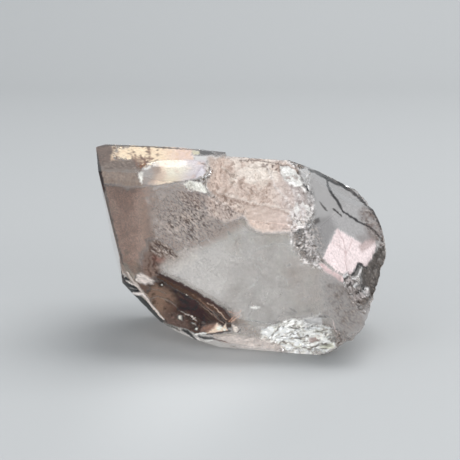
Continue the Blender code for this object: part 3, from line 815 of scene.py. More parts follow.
    # ----- pink cleavage window on the cap
    k.fill(PINK, (255, 236, 235), 0.98, 0.35, plain=True)
    k.fill(PINK, (232, 208, 206), 0.5, 0.5, mask=ramp(0.1, 0.5, cloud(u * 0.12, v * 0.12, 0, 3, seed=71)), plain=True)
    k.fill([(358, 246), (372, 237), (377, 242), (362, 253)], (188, 166, 162), 0.7, 1.2)
    k.lines([[(338, 230), (343, 240), (346, 250), (345, 262), (347, 272)], [(333, 243), (341, 247), (346, 253)], [(352, 240), (349, 248), (346, 254)]], 1.1, (206, 180, 178), 0.7)
    k.fill(PINK_SLIVER, (226, 199, 197), 0.92, 0.5)
    # ----- chipped corner at the lower right of the cap
    k.fill([(355, 270), (359, 264), (362, 266), (357, 278), (353, 276)], (98, 94, 90), 0.8, 0.6)
    chunk = k.area([(344, 275), (349, 273), (357, 277), (360, 286), (370, 288), (370, 297), (361, 303), (351, 295)], 1.0)
    who, rim = k.flakes(3.0, 81, 30, 1.4)
    k.over((104, 96, 92), chunk * 0.85)
    k.over((226, 216, 214), chunk * ramp(0.40, 0.50, who) * 0.95)
    k.over((252, 250, 249), chunk * ramp(0.68, 0.76, who))
    k.over((44, 39, 37), chunk * ramp(0.30, 0.24, who))
    k.over((56, 51, 48), chunk * rim * 0.7)
    k.fill([(343, 276), (347, 272), (350, 274), (346, 279)], (250, 248, 247), 0.95, 0.5)
    edge = k.area([(376, 243), (384, 243), (384, 257), (377, 256)], 1.0)
    k.over((72, 66, 63), edge * k.spots(3.0, 0.5, 254) * 0.9)
    k.over((246, 242, 240), edge * k.spots(2.8, 0.4, 82) * 0.95)
    right = k.area([(360, 268), (367, 267), (373, 258), (378, 250), (388, 244), (387, 262), (384, 280), (376, 295), (364, 306), (358, 302), (370, 296), (370, 287), (362, 285)], 1.4)
    k.over((82, 75, 70), right * 0.97)
    k.over((54, 49, 46), right * k.streaks(-55, 8, 2.6, 251, 0.0, 0.32) * 0.85)
    k.over((150, 142, 137), right * k.streaks(-60, 7, 2.0, 252, 0.22, 0.44) * 0.7)
    side = k.area([(359, 211), (364, 206), (371, 206), (379, 211), (388, 224), (392, 240), (384, 246), (374, 239), (366, 231), (361, 220)], 3.5)
    patch = cloud((u + 0.6 * v) * 0.19, (v - 0.6 * u) * 0.19, 3.0, 4, seed=243)
    k.over((118, 103, 97), side * np.clip(0.55 + 1.4 * patch, 0.15, 0.95))
    k.over((74, 61, 56), side * ramp(0.05, 0.35, cloud((u + 0.5 * v) * 0.26, (v - 0.5 * u) * 0.30, 6.0, 4, seed=245)) * 0.8)
    k.over((172, 158, 151), side * ramp(0.12, 0.4, -patch) * 0.45)
    k.over((120, 104, 99), k.area([(356, 236), (378, 230), (384, 246), (368, 242), (360, 246)], 3.0) * 0.35)
    k.fill([(314, 219), (319, 218), (320, 222), (316, 225), (313, 223)], (84, 79, 77), 0.85, 0.9)
    k.fill([(214, 336), (236, 335), (264, 339), (282, 346), (282, 351), (250, 348), (224, 343)], (204, 190, 183), 0.55, 2.0)
    # ----- broken foot, white splinters, with painted sparkle in the brightest whites
    foot = k.area([(260, 333), (270, 328), (282, 322), (292, 319), (304, 321), (306, 327), (318, 326), (330, 329), (332, 340), (336, 347),
                   (322, 354), (296, 354), (284, 351), (276, 343), (262, 340)], 1.6)
    who, rim = k.flakes(2.7, 91, -22, 3.4)
    k.over((194, 189, 182), foot * 0.88)
    k.over((228, 223, 215), foot * ramp(0.30, 0.44, who) * 0.85)
    k.over((255, 254, 251), foot * ramp(0.76, 0.84, who) * (1 - 0.6 * rim))
    k.over((128, 122, 114), foot * ramp(0.12, 0.04, who) * 0.7)
    fan = np.degrees(np.arctan2(344 - v, u - 262)) + 6 * cloud(u * 0.05, v * 0.05, 3.0, 2, seed=95)
    rays = cloud(fan * 0.30, np.hypot(u - 262, v - 344) * 0.07, 2.0, 3, seed=96)
    k.over((104, 98, 92), foot * ramp(0.08, 0.24, rays) * 0.85)
    k.over((255, 254, 251), foot * ramp(0.08, 0.24, -rays) * 0.9)
    k.fill([(303, 319), (320, 317), (324, 324), (318, 327), (305, 327)], (194, 193, 193), 0.7, 1.0)
    k.fill([(304, 329), (319, 327.5), (322, 331), (308, 333)], (252, 252, 250), 0.95, 0.7)
    k.fill([(308, 338.5), (319, 338), (320, 343), (309, 344)], (176, 156, 150), 0.85, 0.8)
    k.fill([(320, 347), (332, 344), (334, 348), (325, 352.5), (318, 352)], (228, 228, 208), 0.8, 1.0)
    k.fill([(262, 330), (272, 328), (276, 336), (270, 340), (262, 338)], (250, 249, 243), 0.85, 2.0)
    # ----- small glints on the dark facet: painted highlights
    wedge = k.area(WEDGE, 1.0)
    k.over((176, 148, 134), wedge * ramp(0.30, 0.45, cloud(u * 0.3, v * 0.34, 5.0, 3, seed=268)) * k.area([(170, 308), (214, 326), (214, 333), (192, 332), (174, 322)], 4.0) * 0.5)
    # painted highlight: a pale flare with two bright spots at the facet's lower end
    flare = k.area([(206, 333), (213, 328.5), (217, 323), (220, 325), (223, 328), (226, 323.5), (227, 331), (216, 332)], 0.9)
    k.over((238, 206, 186), flare * 0.97)
    k.over((255, 244, 228), flare * np.maximum(ramp(3.4, 1.4, np.hypot(k.u0 - 219, k.v0 - 328)), ramp(1.8, 0.8, np.hypot(k.u0 - 224.5, k.v0 - 330))))
    k.over((150, 112, 94), k.area([(203, 326), (216, 323), (214, 328), (206, 332), (200, 332)], 2.0) * 0.5)
    for cx, cy, r in ((185.5, 289.5, 1.2), (190.5, 291.5, 0.9), (182.5, 291.5, 0.7), (187, 294.5, 0.8), (180.5, 317.5, 1.6), (196.5, 329, 0.9),
                      (194, 324, 0.7), (192, 316.5, 0.7), (205, 323, 0.8), (176, 283, 0.6), (162, 285, 0.5)):
        k.over((250, 236, 224), ramp(r + 0.8, r - 0.6, np.hypot(k.u0 - cx, k.v0 - cy)))
    k.fill([(135, 279), (138.5, 273), (142, 273.5), (148, 276.5), (154, 281), (151, 284), (145, 284), (139, 283)], (220, 208, 201), 0.9, 0.8, mask=np.clip(0.85 + 0.8 * cloud(u * 0.3, v * 0.3, 2.0, 3, seed=284), 0, 1))
    k.fill([(232.5, 324.5), (236, 327), (240, 330.5), (237, 333.5), (234, 332.5)], (222, 206, 196), 0.85, 0.7, mask=np.clip(0.8 + cloud(u * 0.3, v * 0.3, 4.0, 3, seed=285), 0, 1))
    k.fill([(138, 282.5), (143, 284.5), (150, 286), (149, 291), (146, 293), (141, 288)], (100, 83, 75), 0.95, 1.0)
    k.fill([(95.5, 155.5), (97.5, 156), (98, 159), (96, 158.5)], (250, 248, 246), 0.95, 0.4)
    # ----- smudge right of the dark facet
    smudge = k.area([(234, 312), (244, 316), (252, 326), (262, 336), (254, 338), (242, 331), (234, 326)], 4.0)
    k.over((112, 98, 88), smudge * ramp(-0.1, 0.35, cloud(u * 0.24, v * 0.24, 1.0, 3, seed=270)) * 0.7)
    # ----- faint haze on the clear front
    haze = k.area([(180, 262), (206, 246), (232, 236), (246, 226), (262, 234), (290, 236), (300, 258), (322, 276), (340, 286), (356, 304), (358, 330),
                   (334, 326), (306, 318), (276, 324), (252, 336), (240, 318), (214, 300), (190, 286), (164, 272)], 5.0)
    drift = cloud(u * 0.05, v * 0.05, 2.0, 4, seed=271)
    speck = cloud(u * 0.45, v * 0.45, 2.0, 3, seed=272)
    k.over((190, 188, 183), haze * np.clip(0.14 + 0.25 * drift, 0, 1))
    k.over((212, 205, 198), k.area([(164, 266), (182, 258), (206, 244), (232, 234), (240, 262), (222, 292), (204, 292), (184, 280)], 8.0) * haze * 0.24)
    k.over((118, 112, 106), haze * ramp(0.36, 0.52, speck) * 0.45)
    k.over((198, 197, 193), haze * ramp(0.44, 0.60, cloud(u * 0.4, v * 0.5, 8.0, 3, seed=273)) * 0.3)
    k.over((192, 184, 176), k.area([(158, 267), (170, 257), (184, 250), (200, 246), (198, 258), (184, 270), (176, 276)], 4.0) * 0.5)
    low = k.area([(322, 276), (346, 283), (364, 298), (372, 312), (362, 330), (346, 338), (336, 328), (328, 304)], 8.0)
    k.over((112, 101, 95), low * np.clip(0.74 + 0.6 * cloud(u * 0.12, v * 0.2, 3.0, 4, seed=274), 0, 1) * 0.9)
    k.over((88, 79, 74), low * ramp(0.15, 0.42, cloud(u * 0.18, v * 0.42, 3.0, 3, seed=275)) * 0.6)
    # ----- thin lines
    for points, width, color, alpha in CRACKS:
        k.line(points, width, color, alpha, soft=0.55, taper=0.45)
    for points, width, color, alpha in SCRATCHES_AND_PAINTED_GLINTS:
        k.line(points, width, color, alpha, soft=0.5, taper=0.35)
    # the cap's dark rim is lightened in patches towards the back, so that it breaks up there
    rim_far, _ = near_line([(309, 169.6), (319, 173.4), (328, 177.6), (336, 181.6), (344, 185.6), (352, 190), (364, 201), (377, 218)], k.u0, k.v0)
    broken = cloud(P[:, 0] * 0.32, P[:, 1] * 0.32, P[:, 2] * 0.32, 4, seed=287)
    k.over((138, 131, 127), ramp(6.0, 3.5, rim_far) * ramp(12.5, 15.5, P[:, 1]) * ramp(-0.10, 0.22, broken) * 0.75)
    cover = k.A * ramp(-0.02, 0.08, front)
    tone = k.albedo()
    # ----- the sides away from the camera: thin frost on the broken parts
    x, y, z = P.T
    hidden = ramp(0.06, -0.04, front)
    patch = ramp(0.05, 0.45, cloud(x * 0.11, y * 0.11, z * 0.11, 4, seed=101) + 0.55 * soft)
    fleck = ramp(0.55, 0.8, cloud(x * 0.5, y * 0.5, z * 0.5, 3, seed=102, ridged=True))
    away = hidden * np.clip(0.10 * fleck + patch * soft * 0.75, 0, 0.9)
    warm = ramp(-0.2, 0.4, cloud(x * 0.09, y * 0.09, z * 0.09, 3, seed=103))[:, None]
    tone = np.where((hidden > 0.5)[:, None], np.array((0.62, 0.50, 0.42)) * (1 - warm) + np.array((0.80, 0.75, 0.69)) * warm, tone)
    cover = np.maximum(cover, away)
    topside = ramp(0.80, 0.95, slope[:, 2]) * ramp(0.3, 0.8, cover)
    matt = np.clip(0.02 + 0.28 * soft * (1 - hard) + 0.08 * hard + 0.20 * cover * soft + 0.26 * topside * (1 - soft), 0.0, 0.6)
    grip = np.maximum(k.area([(150, 266), (160, 268), (180, 278), (200, 289), (218, 300), (232, 308), (240, 324), (232, 337), (196, 337), (162, 325), (138, 302),
                              (120, 284), (118, 262), (140, 266)], 2.0),
                      0.75 * k.area([(90, 142), (138, 142), (142, 186), (148, 204), (152, 230), (160, 242), (182, 258), (170, 272), (150, 282), (120, 282), (96, 200)], 6.0))
    grip = np.maximum(grip, 0.7 * k.area([(352, 268), (374, 250), (392, 236), (392, 290), (364, 312), (342, 290)], 3.0)) * (front > 0)
    return tone, np.clip(cover, 0, 1), matt, scaly * (front > 0), grip


def under_skin(k):
    """Smoky clouds, dark washes and painted shade just inside the camera-facing skin."""
    u, v = k.u, k.v
    # ----- brown left part
    left = k.area([(88, 158), (146, 168), (152, 186), (158, 200), (163, 230), (168, 246), (163, 264), (153, 277), (136, 280), (118, 268), (102, 222)], 7.0)
    m = cloud(u * 0.06, v * 0.05, 0, 4, seed=201)
    run = ramp(130, 154, u)[:, None]
    k.over(k.hue((170, 149, 139))[None, :] * (1 - run) + k.hue((204, 183, 172))[None, :] * run, left * 0.97)
    k.over((148, 126, 116), left * ramp(-0.1, 0.4, m + 0.5 * np.exp(-((u - 124) / 12) ** 2 - ((v - 198) / 14) ** 2)) * 0.75)
    k.over((184, 166, 156), left * ramp(0.12, 0.45, cloud(u * 0.2, v * 0.16, 5.0, 4, seed=206)) * 0.5)
    k.over((168, 152, 141), left * ramp(0.05, 0.4, -m) * 0.6)
    k.over((130, 119, 107), left * ramp(0.1, 0.5, cloud(u * 0.08, v * 0.07, 4, 3, seed=202)) * ramp(226, 256, v) * 0.7)
    k.fill([(110, 172), (140, 173), (142, 186), (128, 184), (116, 178)], (154, 145, 136), 0.6, 3.0)
    k.over((194, 173, 163), k.area([(140, 190), (158, 192), (172, 222), (172, 244), (158, 264), (142, 262)], 9.0) * 0.75)
    # ----- dark left edge
    k.line([(94.5, 154), (97.5, 166), (100.5, 180), (103, 190)], 5.0, (70, 57, 50), 0.95, soft=1.2, taper=0.4)
    k.line([(100, 178), (106.5, 207), (114, 237), (121, 264)], 1.3, (96, 84, 76), 0.8, soft=0.6)
    # ----- grey-brown ground of the scaly texture
    fish = k.area([(146, 187), (182, 185), (200, 194), (218, 206), (236, 214), (238, 226), (222, 238), (200, 248), (190, 260), (168, 266), (152, 254), (146, 232)], 8.0)
    k.over((160, 139, 124), fish * 0.84)
    k.over((150, 126, 116), k.area([(146, 254), (160, 254), (162, 268), (154, 276), (146, 274)], 3.5) * 0.45)
    k.over((130, 110, 100), k.area([(178, 190), (188, 191), (200, 193), (212, 197), (219, 199), (219, 206), (206, 207), (196, 212), (182, 206)], 2.0) * 0.8)
    # ----- ground below the peach break
    k.fill([(206, 160), (300, 164), (312, 200), (304, 230), (250, 230), (222, 212), (206, 196)], (206, 190, 180), 0.6, 2.0)
    # ----- faint wisps in the window
    k.fill([(222, 238), (240, 236), (240, 256), (226, 252)], (158, 149, 141), 0.6, 4.0)
    k.fill([(247, 232), (290, 233), (288, 242), (262, 246), (248, 240)], (160, 151, 142), 0.4, 3.0)
    window = k.area([(176, 262), (206, 246), (236, 230), (262, 234), (292, 236), (302, 258), (324, 276), (346, 288), (356, 306), (352, 330), (334, 326), (306, 316),
                     (276, 322), (250, 330), (240, 316), (214, 298), (190, 284), (166, 270)], 5.0)
    k.over((206, 201, 194), window * np.clip(0.43 + 0.5 * cloud(u * 0.09, v * 0.09, 3.0, 4, seed=225), 0.05, 0.8))
    right = k.area([(284, 246), (320, 270), (344, 284), (364, 300), (362, 320), (344, 336), (330, 342), (322, 318), (300, 310), (288, 290), (280, 262)], 9.0)
    k.over((154, 145, 141), right * np.clip(0.34 + 0.3 * cloud(u * 0.05, v * 0.05, 0, 4, seed=221), 0, 1))
    low = k.area([(326, 280), (352, 292), (362, 306), (358, 324), (344, 336), (332, 336), (326, 306)], 9.0)
    k.over((150, 142, 138), low * np.clip(0.30 + 0.4 * cloud(u * 0.1, v * 0.1, 0, 4, seed=222), 0, 1) * 0.7)
    k.over((122, 110, 104), low * k.streaks(5, 7, 2.4, 223, 0.1, 0.4) * 0.5)
    # ----- between the white band and the cap
    k.over((158, 148, 143), k.area([(292, 214), (312, 216), (322, 246), (322, 262), (306, 264), (294, 248)], 3.0) * 0.7)
    # ----- cap
    cap = k.area([(311, 169), (330, 176), (350, 189), (374, 208), (382, 226), (380, 240), (362, 244), (337, 228), (322, 258), (312, 236), (316, 212)], 3.0)
    k.over((152, 149, 148), cap * np.clip(0.65 + 0.25 * cloud(u * 0.05, v * 0.05, 0, 3, seed=241), 0, 1))
    k.fill([(344, 184.5), (351, 187), (352, 190), (346, 187)], (70, 64, 62), 0.9, 0.8)
    k.over((128, 124, 122), k.area([(322, 238), (330, 240), (322, 256), (318, 248)], 2.0) * 0.7)
    k.fill([(306, 219), (312, 218), (312, 223), (307, 223)], (140, 134, 131), 0.7, 1.5)
    side = k.area([(360, 210), (364, 209), (369, 212), (376, 207), (383, 220), (387, 238), (383, 243), (374, 236), (366, 228), (362, 220)], 1.6)
    k.over((124, 110, 104), side * np.clip(0.75 + 0.5 * cloud(u * 0.16, v * 0.16, 0, 3, seed=242), 0, 1))
    k.over((140, 120, 114), k.area([(356, 236), (378, 232), (380, 246), (366, 240), (360, 244)], 3.0) * 0.5)
    k.fill(PINK, (226, 208, 206), 0.8, 0.6)
    # ----- rough right margin
    right = k.area([(360, 268), (367, 267), (373, 258), (378, 250), (386, 244), (385, 262), (382, 280), (374, 295), (364, 304), (358, 302), (370, 296), (370, 287), (362, 285)], 1.4)
    k.over((122, 117, 112), right * 0.92)
    k.line([(379, 268), (380, 278), (377, 288)], 3.0, (84, 80, 77), 0.7, soft=1.2, taper=0.4)
    # ----- ground of the broken foot
    k.fill([(260, 333), (282, 322), (304, 321), (330, 329), (336, 347), (322, 354), (284, 351), (262, 340)], (176, 174, 166), 0.5, 2.0)
    # ----- dark facet: smoky brown, with painted shade standing for the dark floor seen in the facet
    n3 = cloud(u * 0.14, v * 0.16, 2.0, 4, seed=281)
    n4 = cloud(u * 0.34, v * 0.36, 6.0, 3, seed=282)
    wedge = k.area(WEDGE, 0.9)
    k.over((72, 59, 54), wedge * 0.98)
    k.fill([(145, 286), (158, 286), (170, 292), (177, 302), (170, 311), (161, 318), (153, 308), (147, 298)], (138, 117, 103), 0.95, 4.0)
    k.fill([(165, 303), (176, 303), (180, 311), (172, 315), (164, 311)], (100, 80, 71), 0.6, 3.0)
    k.fill([(162, 312), (172, 312), (186, 320), (190, 330), (176, 327), (163, 322)], (110, 95, 89), 0.85, 3.5)
    k.fill([(154, 272), (166, 276), (180, 284), (178, 290), (162, 286), (152, 282)], (90, 76, 70), 0.8, 3.0)
    k.over((140, 119, 104), wedge * ramp(0.05, 0.45, cloud(u * 0.07, v * 0.08, 4.0, 3, seed=286)) * ramp(178, 162, u) * 0.6)
    k.over((92, 72, 65), wedge * k.area([(164, 300), (182, 304), (196, 320), (206, 331), (188, 331), (168, 318)], 4.0) * ramp(-0.05, 0.3, n4) * 0.8)
    core = k.area([(178, 288), (191, 293), (203, 306), (212, 319), (203, 323), (192, 317), (182, 309), (175, 298)], 6.0, rag=6.0)
    k.over((64, 48, 42), core * 0.95)
    k.over((88, 73, 66), core * k.streaks(42, 14, 2.6, 287, 0.08, 0.36) * 0.7)
    k.over((46, 36, 33), core * ramp(0.05, 0.35, cloud(u * 0.10, v * 0.10, 8.0, 3, seed=288)) * 0.7)
    k.over((46, 38, 35), wedge * ramp(0.05, 0.35, -n3) * 0.6)
    upper = k.area([(184, 284), (214, 303), (227, 310), (232, 320), (222, 326), (206, 312), (190, 297)], 2.5)
    k.over((108, 90, 80), upper * k.streaks(36, 30, 2.0, 261, -0.05, 0.3) * 0.8)
    k.over((48, 39, 35), upper * k.streaks(36, 30, 1.8, 262, 0.05, 0.3) * 0.85)
    k.over((156, 136, 124), upper * k.streaks(38, 40, 1.3, 283, 0.20, 0.34) * 0.7)
    k.over((140, 118, 108), wedge * ramp(0.20, 0.40, n4) * k.area([(164, 308), (212, 326), (210, 333), (190, 332), (168, 322)], 3.0) * 0.7)
    k.fill([(230, 312), (240, 314), (250, 326), (258, 336), (250, 336), (240, 328), (231, 324)], (128, 112, 100), 0.6, 4.5)
    # ----- pale foot strip and the strip along the lower left edge
    k.fill([(212, 335), (236, 334), (264, 338), (284, 346), (284, 352), (250, 348.5), (222, 343)], (188, 174, 168), 0.7, 1.2)
    k.fill([(121, 262), (126, 264), (134, 276), (142, 288), (150, 300), (162, 318), (158, 320), (148, 307), (138, 293), (128, 280)], (178, 166, 158), 0.85, 1.0)
    k.fill([(135, 279), (138.5, 273), (142, 273.5), (148, 276.5), (154, 281), (151, 284), (145, 284), (139, 283)], (206, 196, 189), 0.9, 1.0)


def veil_grid(step, depth):
    """A sheet just under the camera-facing skin: grid points and faces."""
    us = np.arange(92, 392, step)
    vs = np.arange(142, 358, step)
    index, pts, nrm = {}, [], []
    for j, v in enumerate(vs):
        for i, u in enumerate(us):
            p, n, _, _ = BVH.ray_cast(EYE, sight(u, v))
            if p is None:
                continue
            index[i, j] = len(pts)
            pts.append(p)
            nrm.append(n)
    P, N = np.array(pts), np.array(nrm)
    deep = depth + 0.8 * pebbled(P, N) + 0.9 * splintered(P, N)
    Q = P - N * deep[:, None]
    faces = []
    for (i, j), a in index.items():
        b, c, d = index.get((i + 1, j)), index.get((i + 1, j + 1)), index.get((i, j + 1))
        if b is not None and c is not None and d is not None:
            if max(np.linalg.norm(Q[a] - Q[c]), np.linalg.norm(Q[b] - Q[d])) < 1.6:
                faces.append((a, d, c, b))
    return P, Q, N, faces


def depth_inside(p):
    """How far a point is under the skin, in mm; negative outside."""
    loc, n, _, dist = BVH.find_nearest(p)
    return -dist if (p - loc).dot(n) > 0 else dist


# Cracks that run into the stone: line on the skin, reach in mm, lean across the line, colour.
FRACTURES = [
    ([(327.5, 179), (328.5, 187), (332, 194), (337, 200.5), (340, 207), (343.5, 211.5), (352, 217), (360, 222.5), (367, 226.5), (376, 232)], 9.0, 0.25, (0.050, 0.042, 0.038)),
    ([(320, 202), (322.5, 206), (327, 210.5)], 2.5, -0.2, (0.060, 0.052, 0.048)),
    ([(333, 209), (337.5, 212), (341.5, 216)], 3.0, 0.2, (0.060, 0.052, 0.048)),
    ([(166, 219), (170, 223), (174, 228)], 2.5, 0.4, (0.060, 0.045, 0.040)),
    ([(183, 231), (190, 235), (199, 241)], 4.0, -0.5, (0.060, 0.045, 0.040)),
    ([(150, 247), (160, 249), (170, 253), (176, 256.5)], 5.0, -0.4, (0.075, 0.055, 0.048)),
    ([(289, 308.5), (294, 310), (297, 312.5)], 2.0, 0.3, (0.060, 0.052, 0.048)),
    ([(270, 318), (290, 316), (312, 312), (330, 308), (352, 306)], 6.0, -0.55, (0.30, 0.28, 0.26)),
    ([(291, 215), (297, 224), (305, 230), (311, 242), (318, 256)], 7.0, 0.35, (0.42, 0.38, 0.36)),
    ([(214, 160), (214, 176), (212, 192), (222, 204), (240, 212)], 8.0, -0.3, (0.40, 0.34, 0.30)),
]


def fracture(points, reach, lean, seed, rows_in=7):
    """A ragged sheet that goes into the stone from a line on its skin and thins out."""
    pts = [Vector(p) for p in points]
    total = sum((b - a).length for a, b in zip(pts, pts[1:]))
    count = max(5, int(total / 1.6))
    V, F, A = [], [], []
    last = None
    for i in range(count + 1):
        t = i / count
        left = t * total
        for a, b in zip(pts, pts[1:]):
            step = (b - a).length
            if left <= step or b is pts[-1]:
                way = (b - a) / step
                c = a + way * min(left, step)
                break
            left -= step
        side = Vector((-way.y, way.x))
        hit, n, _, _ = BVH.ray_cast(EYE, sight(c.x, c.y))
        if hit is None:
            last = None
            continue
        go = (sight(c.x, c.y) + (RIGHT * side.x - UP * side.y) * lean).normalized()
        start = hit + go * 0.25 - n * 0.25
        far, _, _, room = BVH.ray_cast(start + go * 0.3, go)
        room = 0.3 + room if far is not None else 0.6
        long = min(reach * (1 - abs(2 * t - 1) ** 2.2) * (0.85 + 0.3 * float(cloud(i * 0.21, 1.0, 2.0, 2, seed=seed))), room * 0.8)
        ids = []
        for j in range(rows_in):
            q = j / (rows_in - 1)
            p = start + go * long * q
            p = p + (RIGHT * side.x - UP * side.y) * (0.5 * q * float(cloud(p.x * 0.35, p.y * 0.35, p.z * 0.35, 2, seed=seed + 1)))
            ids.append(len(V))
            V.append(p)
            fade = ramp(0.10, 0.5, depth_inside(p))
            A.append(float((1 - q) ** 0.8 * fade * np.clip(0.45 + 1.3 * cloud(p.x * 0.6, p.y * 0.6, p.z * 0.6, 3, seed=seed + 2), 0.05, 0.9) * (1 - abs(2 * t - 1) ** 4)))
        if last is not None:
            for j in range(rows_in - 1):
                F.append((last[j], last[j + 1], ids[j + 1], ids[j]))
        last = ids
    return V, F, A


def crack_object():
    V, F, A, C = [], [], [], []
    for i, (points, reach, lean, color) in enumerate(FRACTURES):
        verts, faces, cover = fracture(points, reach, lean, 300 + 7 * i)
        base = len(V)
        V += [tuple(v) for v in verts]
        F += [tuple(base + j for j in f) for f in faces]
        A += cover
        C += [color] * len(verts)
    return sheet_object("cracks", np.array(V), F, np.array(C, float), np.array(A, float))


# Healed cracks, as soft planes of fine inclusions: centre, two half axes in mm, colour, strength, seed.
WISPS = [
    ((-17, 3, 34), (11, 5, -4), (-3, 2, 9), (0.62, 0.55, 0.49), 0.50, 401),
    ((7, 6, 31), (12, -3, -3), (2, 6, 7), (0.66, 0.58, 0.52), 0.45, 402),
    ((23, 4, 24), (3, 9, 1), (4, -1, 8), (0.60, 0.56, 0.53), 0.50, 403),
    ((-20, -1, 19), (8, 6, -3), (3, -2, 6), (0.20, 0.14, 0.11), 0.55, 404),
    ((4, 9, 11), (13, 2, 2), (-2, 3, 5), (0.55, 0.50, 0.46), 0.40, 405),
]


def wisp_object():
    V, F, A, C = [], [], [], []
    steps = 44
    for centre, a, b, color, strength, seed in WISPS:
        base = len(V)
        c, a, b = Vector(centre), Vector(a), Vector(b)
        bend = a.cross(b).normalized()
        for i in range(steps + 1):
            for j in range(steps + 1):
                s, t = 2 * i / steps - 1, 2 * j / steps - 1
                p = c + a * s + b * t
                V.append(p + bend * (1.2 * math.sin(1.7 * s + 0.6 * t) + 0.8 * s * t))
                if i and j:
                    k = base + i * (steps + 1) + j
                    F.append((k - steps - 2, k - steps - 1, k, k - 1))
        P = np.array([tuple(p) for p in V[base:]])
        s, t = np.divmod(np.arange(len(P)), steps + 1)
        r = np.hypot(2 * s / steps - 1, 2 * t / steps - 1)
        x, y, z = P.T
        body = cloud(x * 0.16, y * 0.16, z * 0.16, 4, seed=seed)
        thread = cloud(x * 0.5, y * 0.5, z * 0.5, 3, seed=seed + 1, ridged=True)
        deep = np.array([depth_inside(Vector(p)) for p in P])
        A += list(strength * ramp(1.0, 0.45, r + 0.5 * body) * ramp(0.8, 2.5, deep) * np.clip(0.15 + ramp(0.62, 0.86, thread) + 0.8 * body, 0, 1))
        C += [color] * len(P)
    return sheet_object("wisps", np.array([tuple(p) for p in V]), F, np.array(C, float), np.array(A, float))


# --------------------------------------------------------------- materials
def new_material(name):
    m = bpy.data.materials.new(name)
    m.use_nodes = True
    t = m.node_tree
    return m, t, t.nodes["Principled BSDF"], t.nodes["Material Output"]


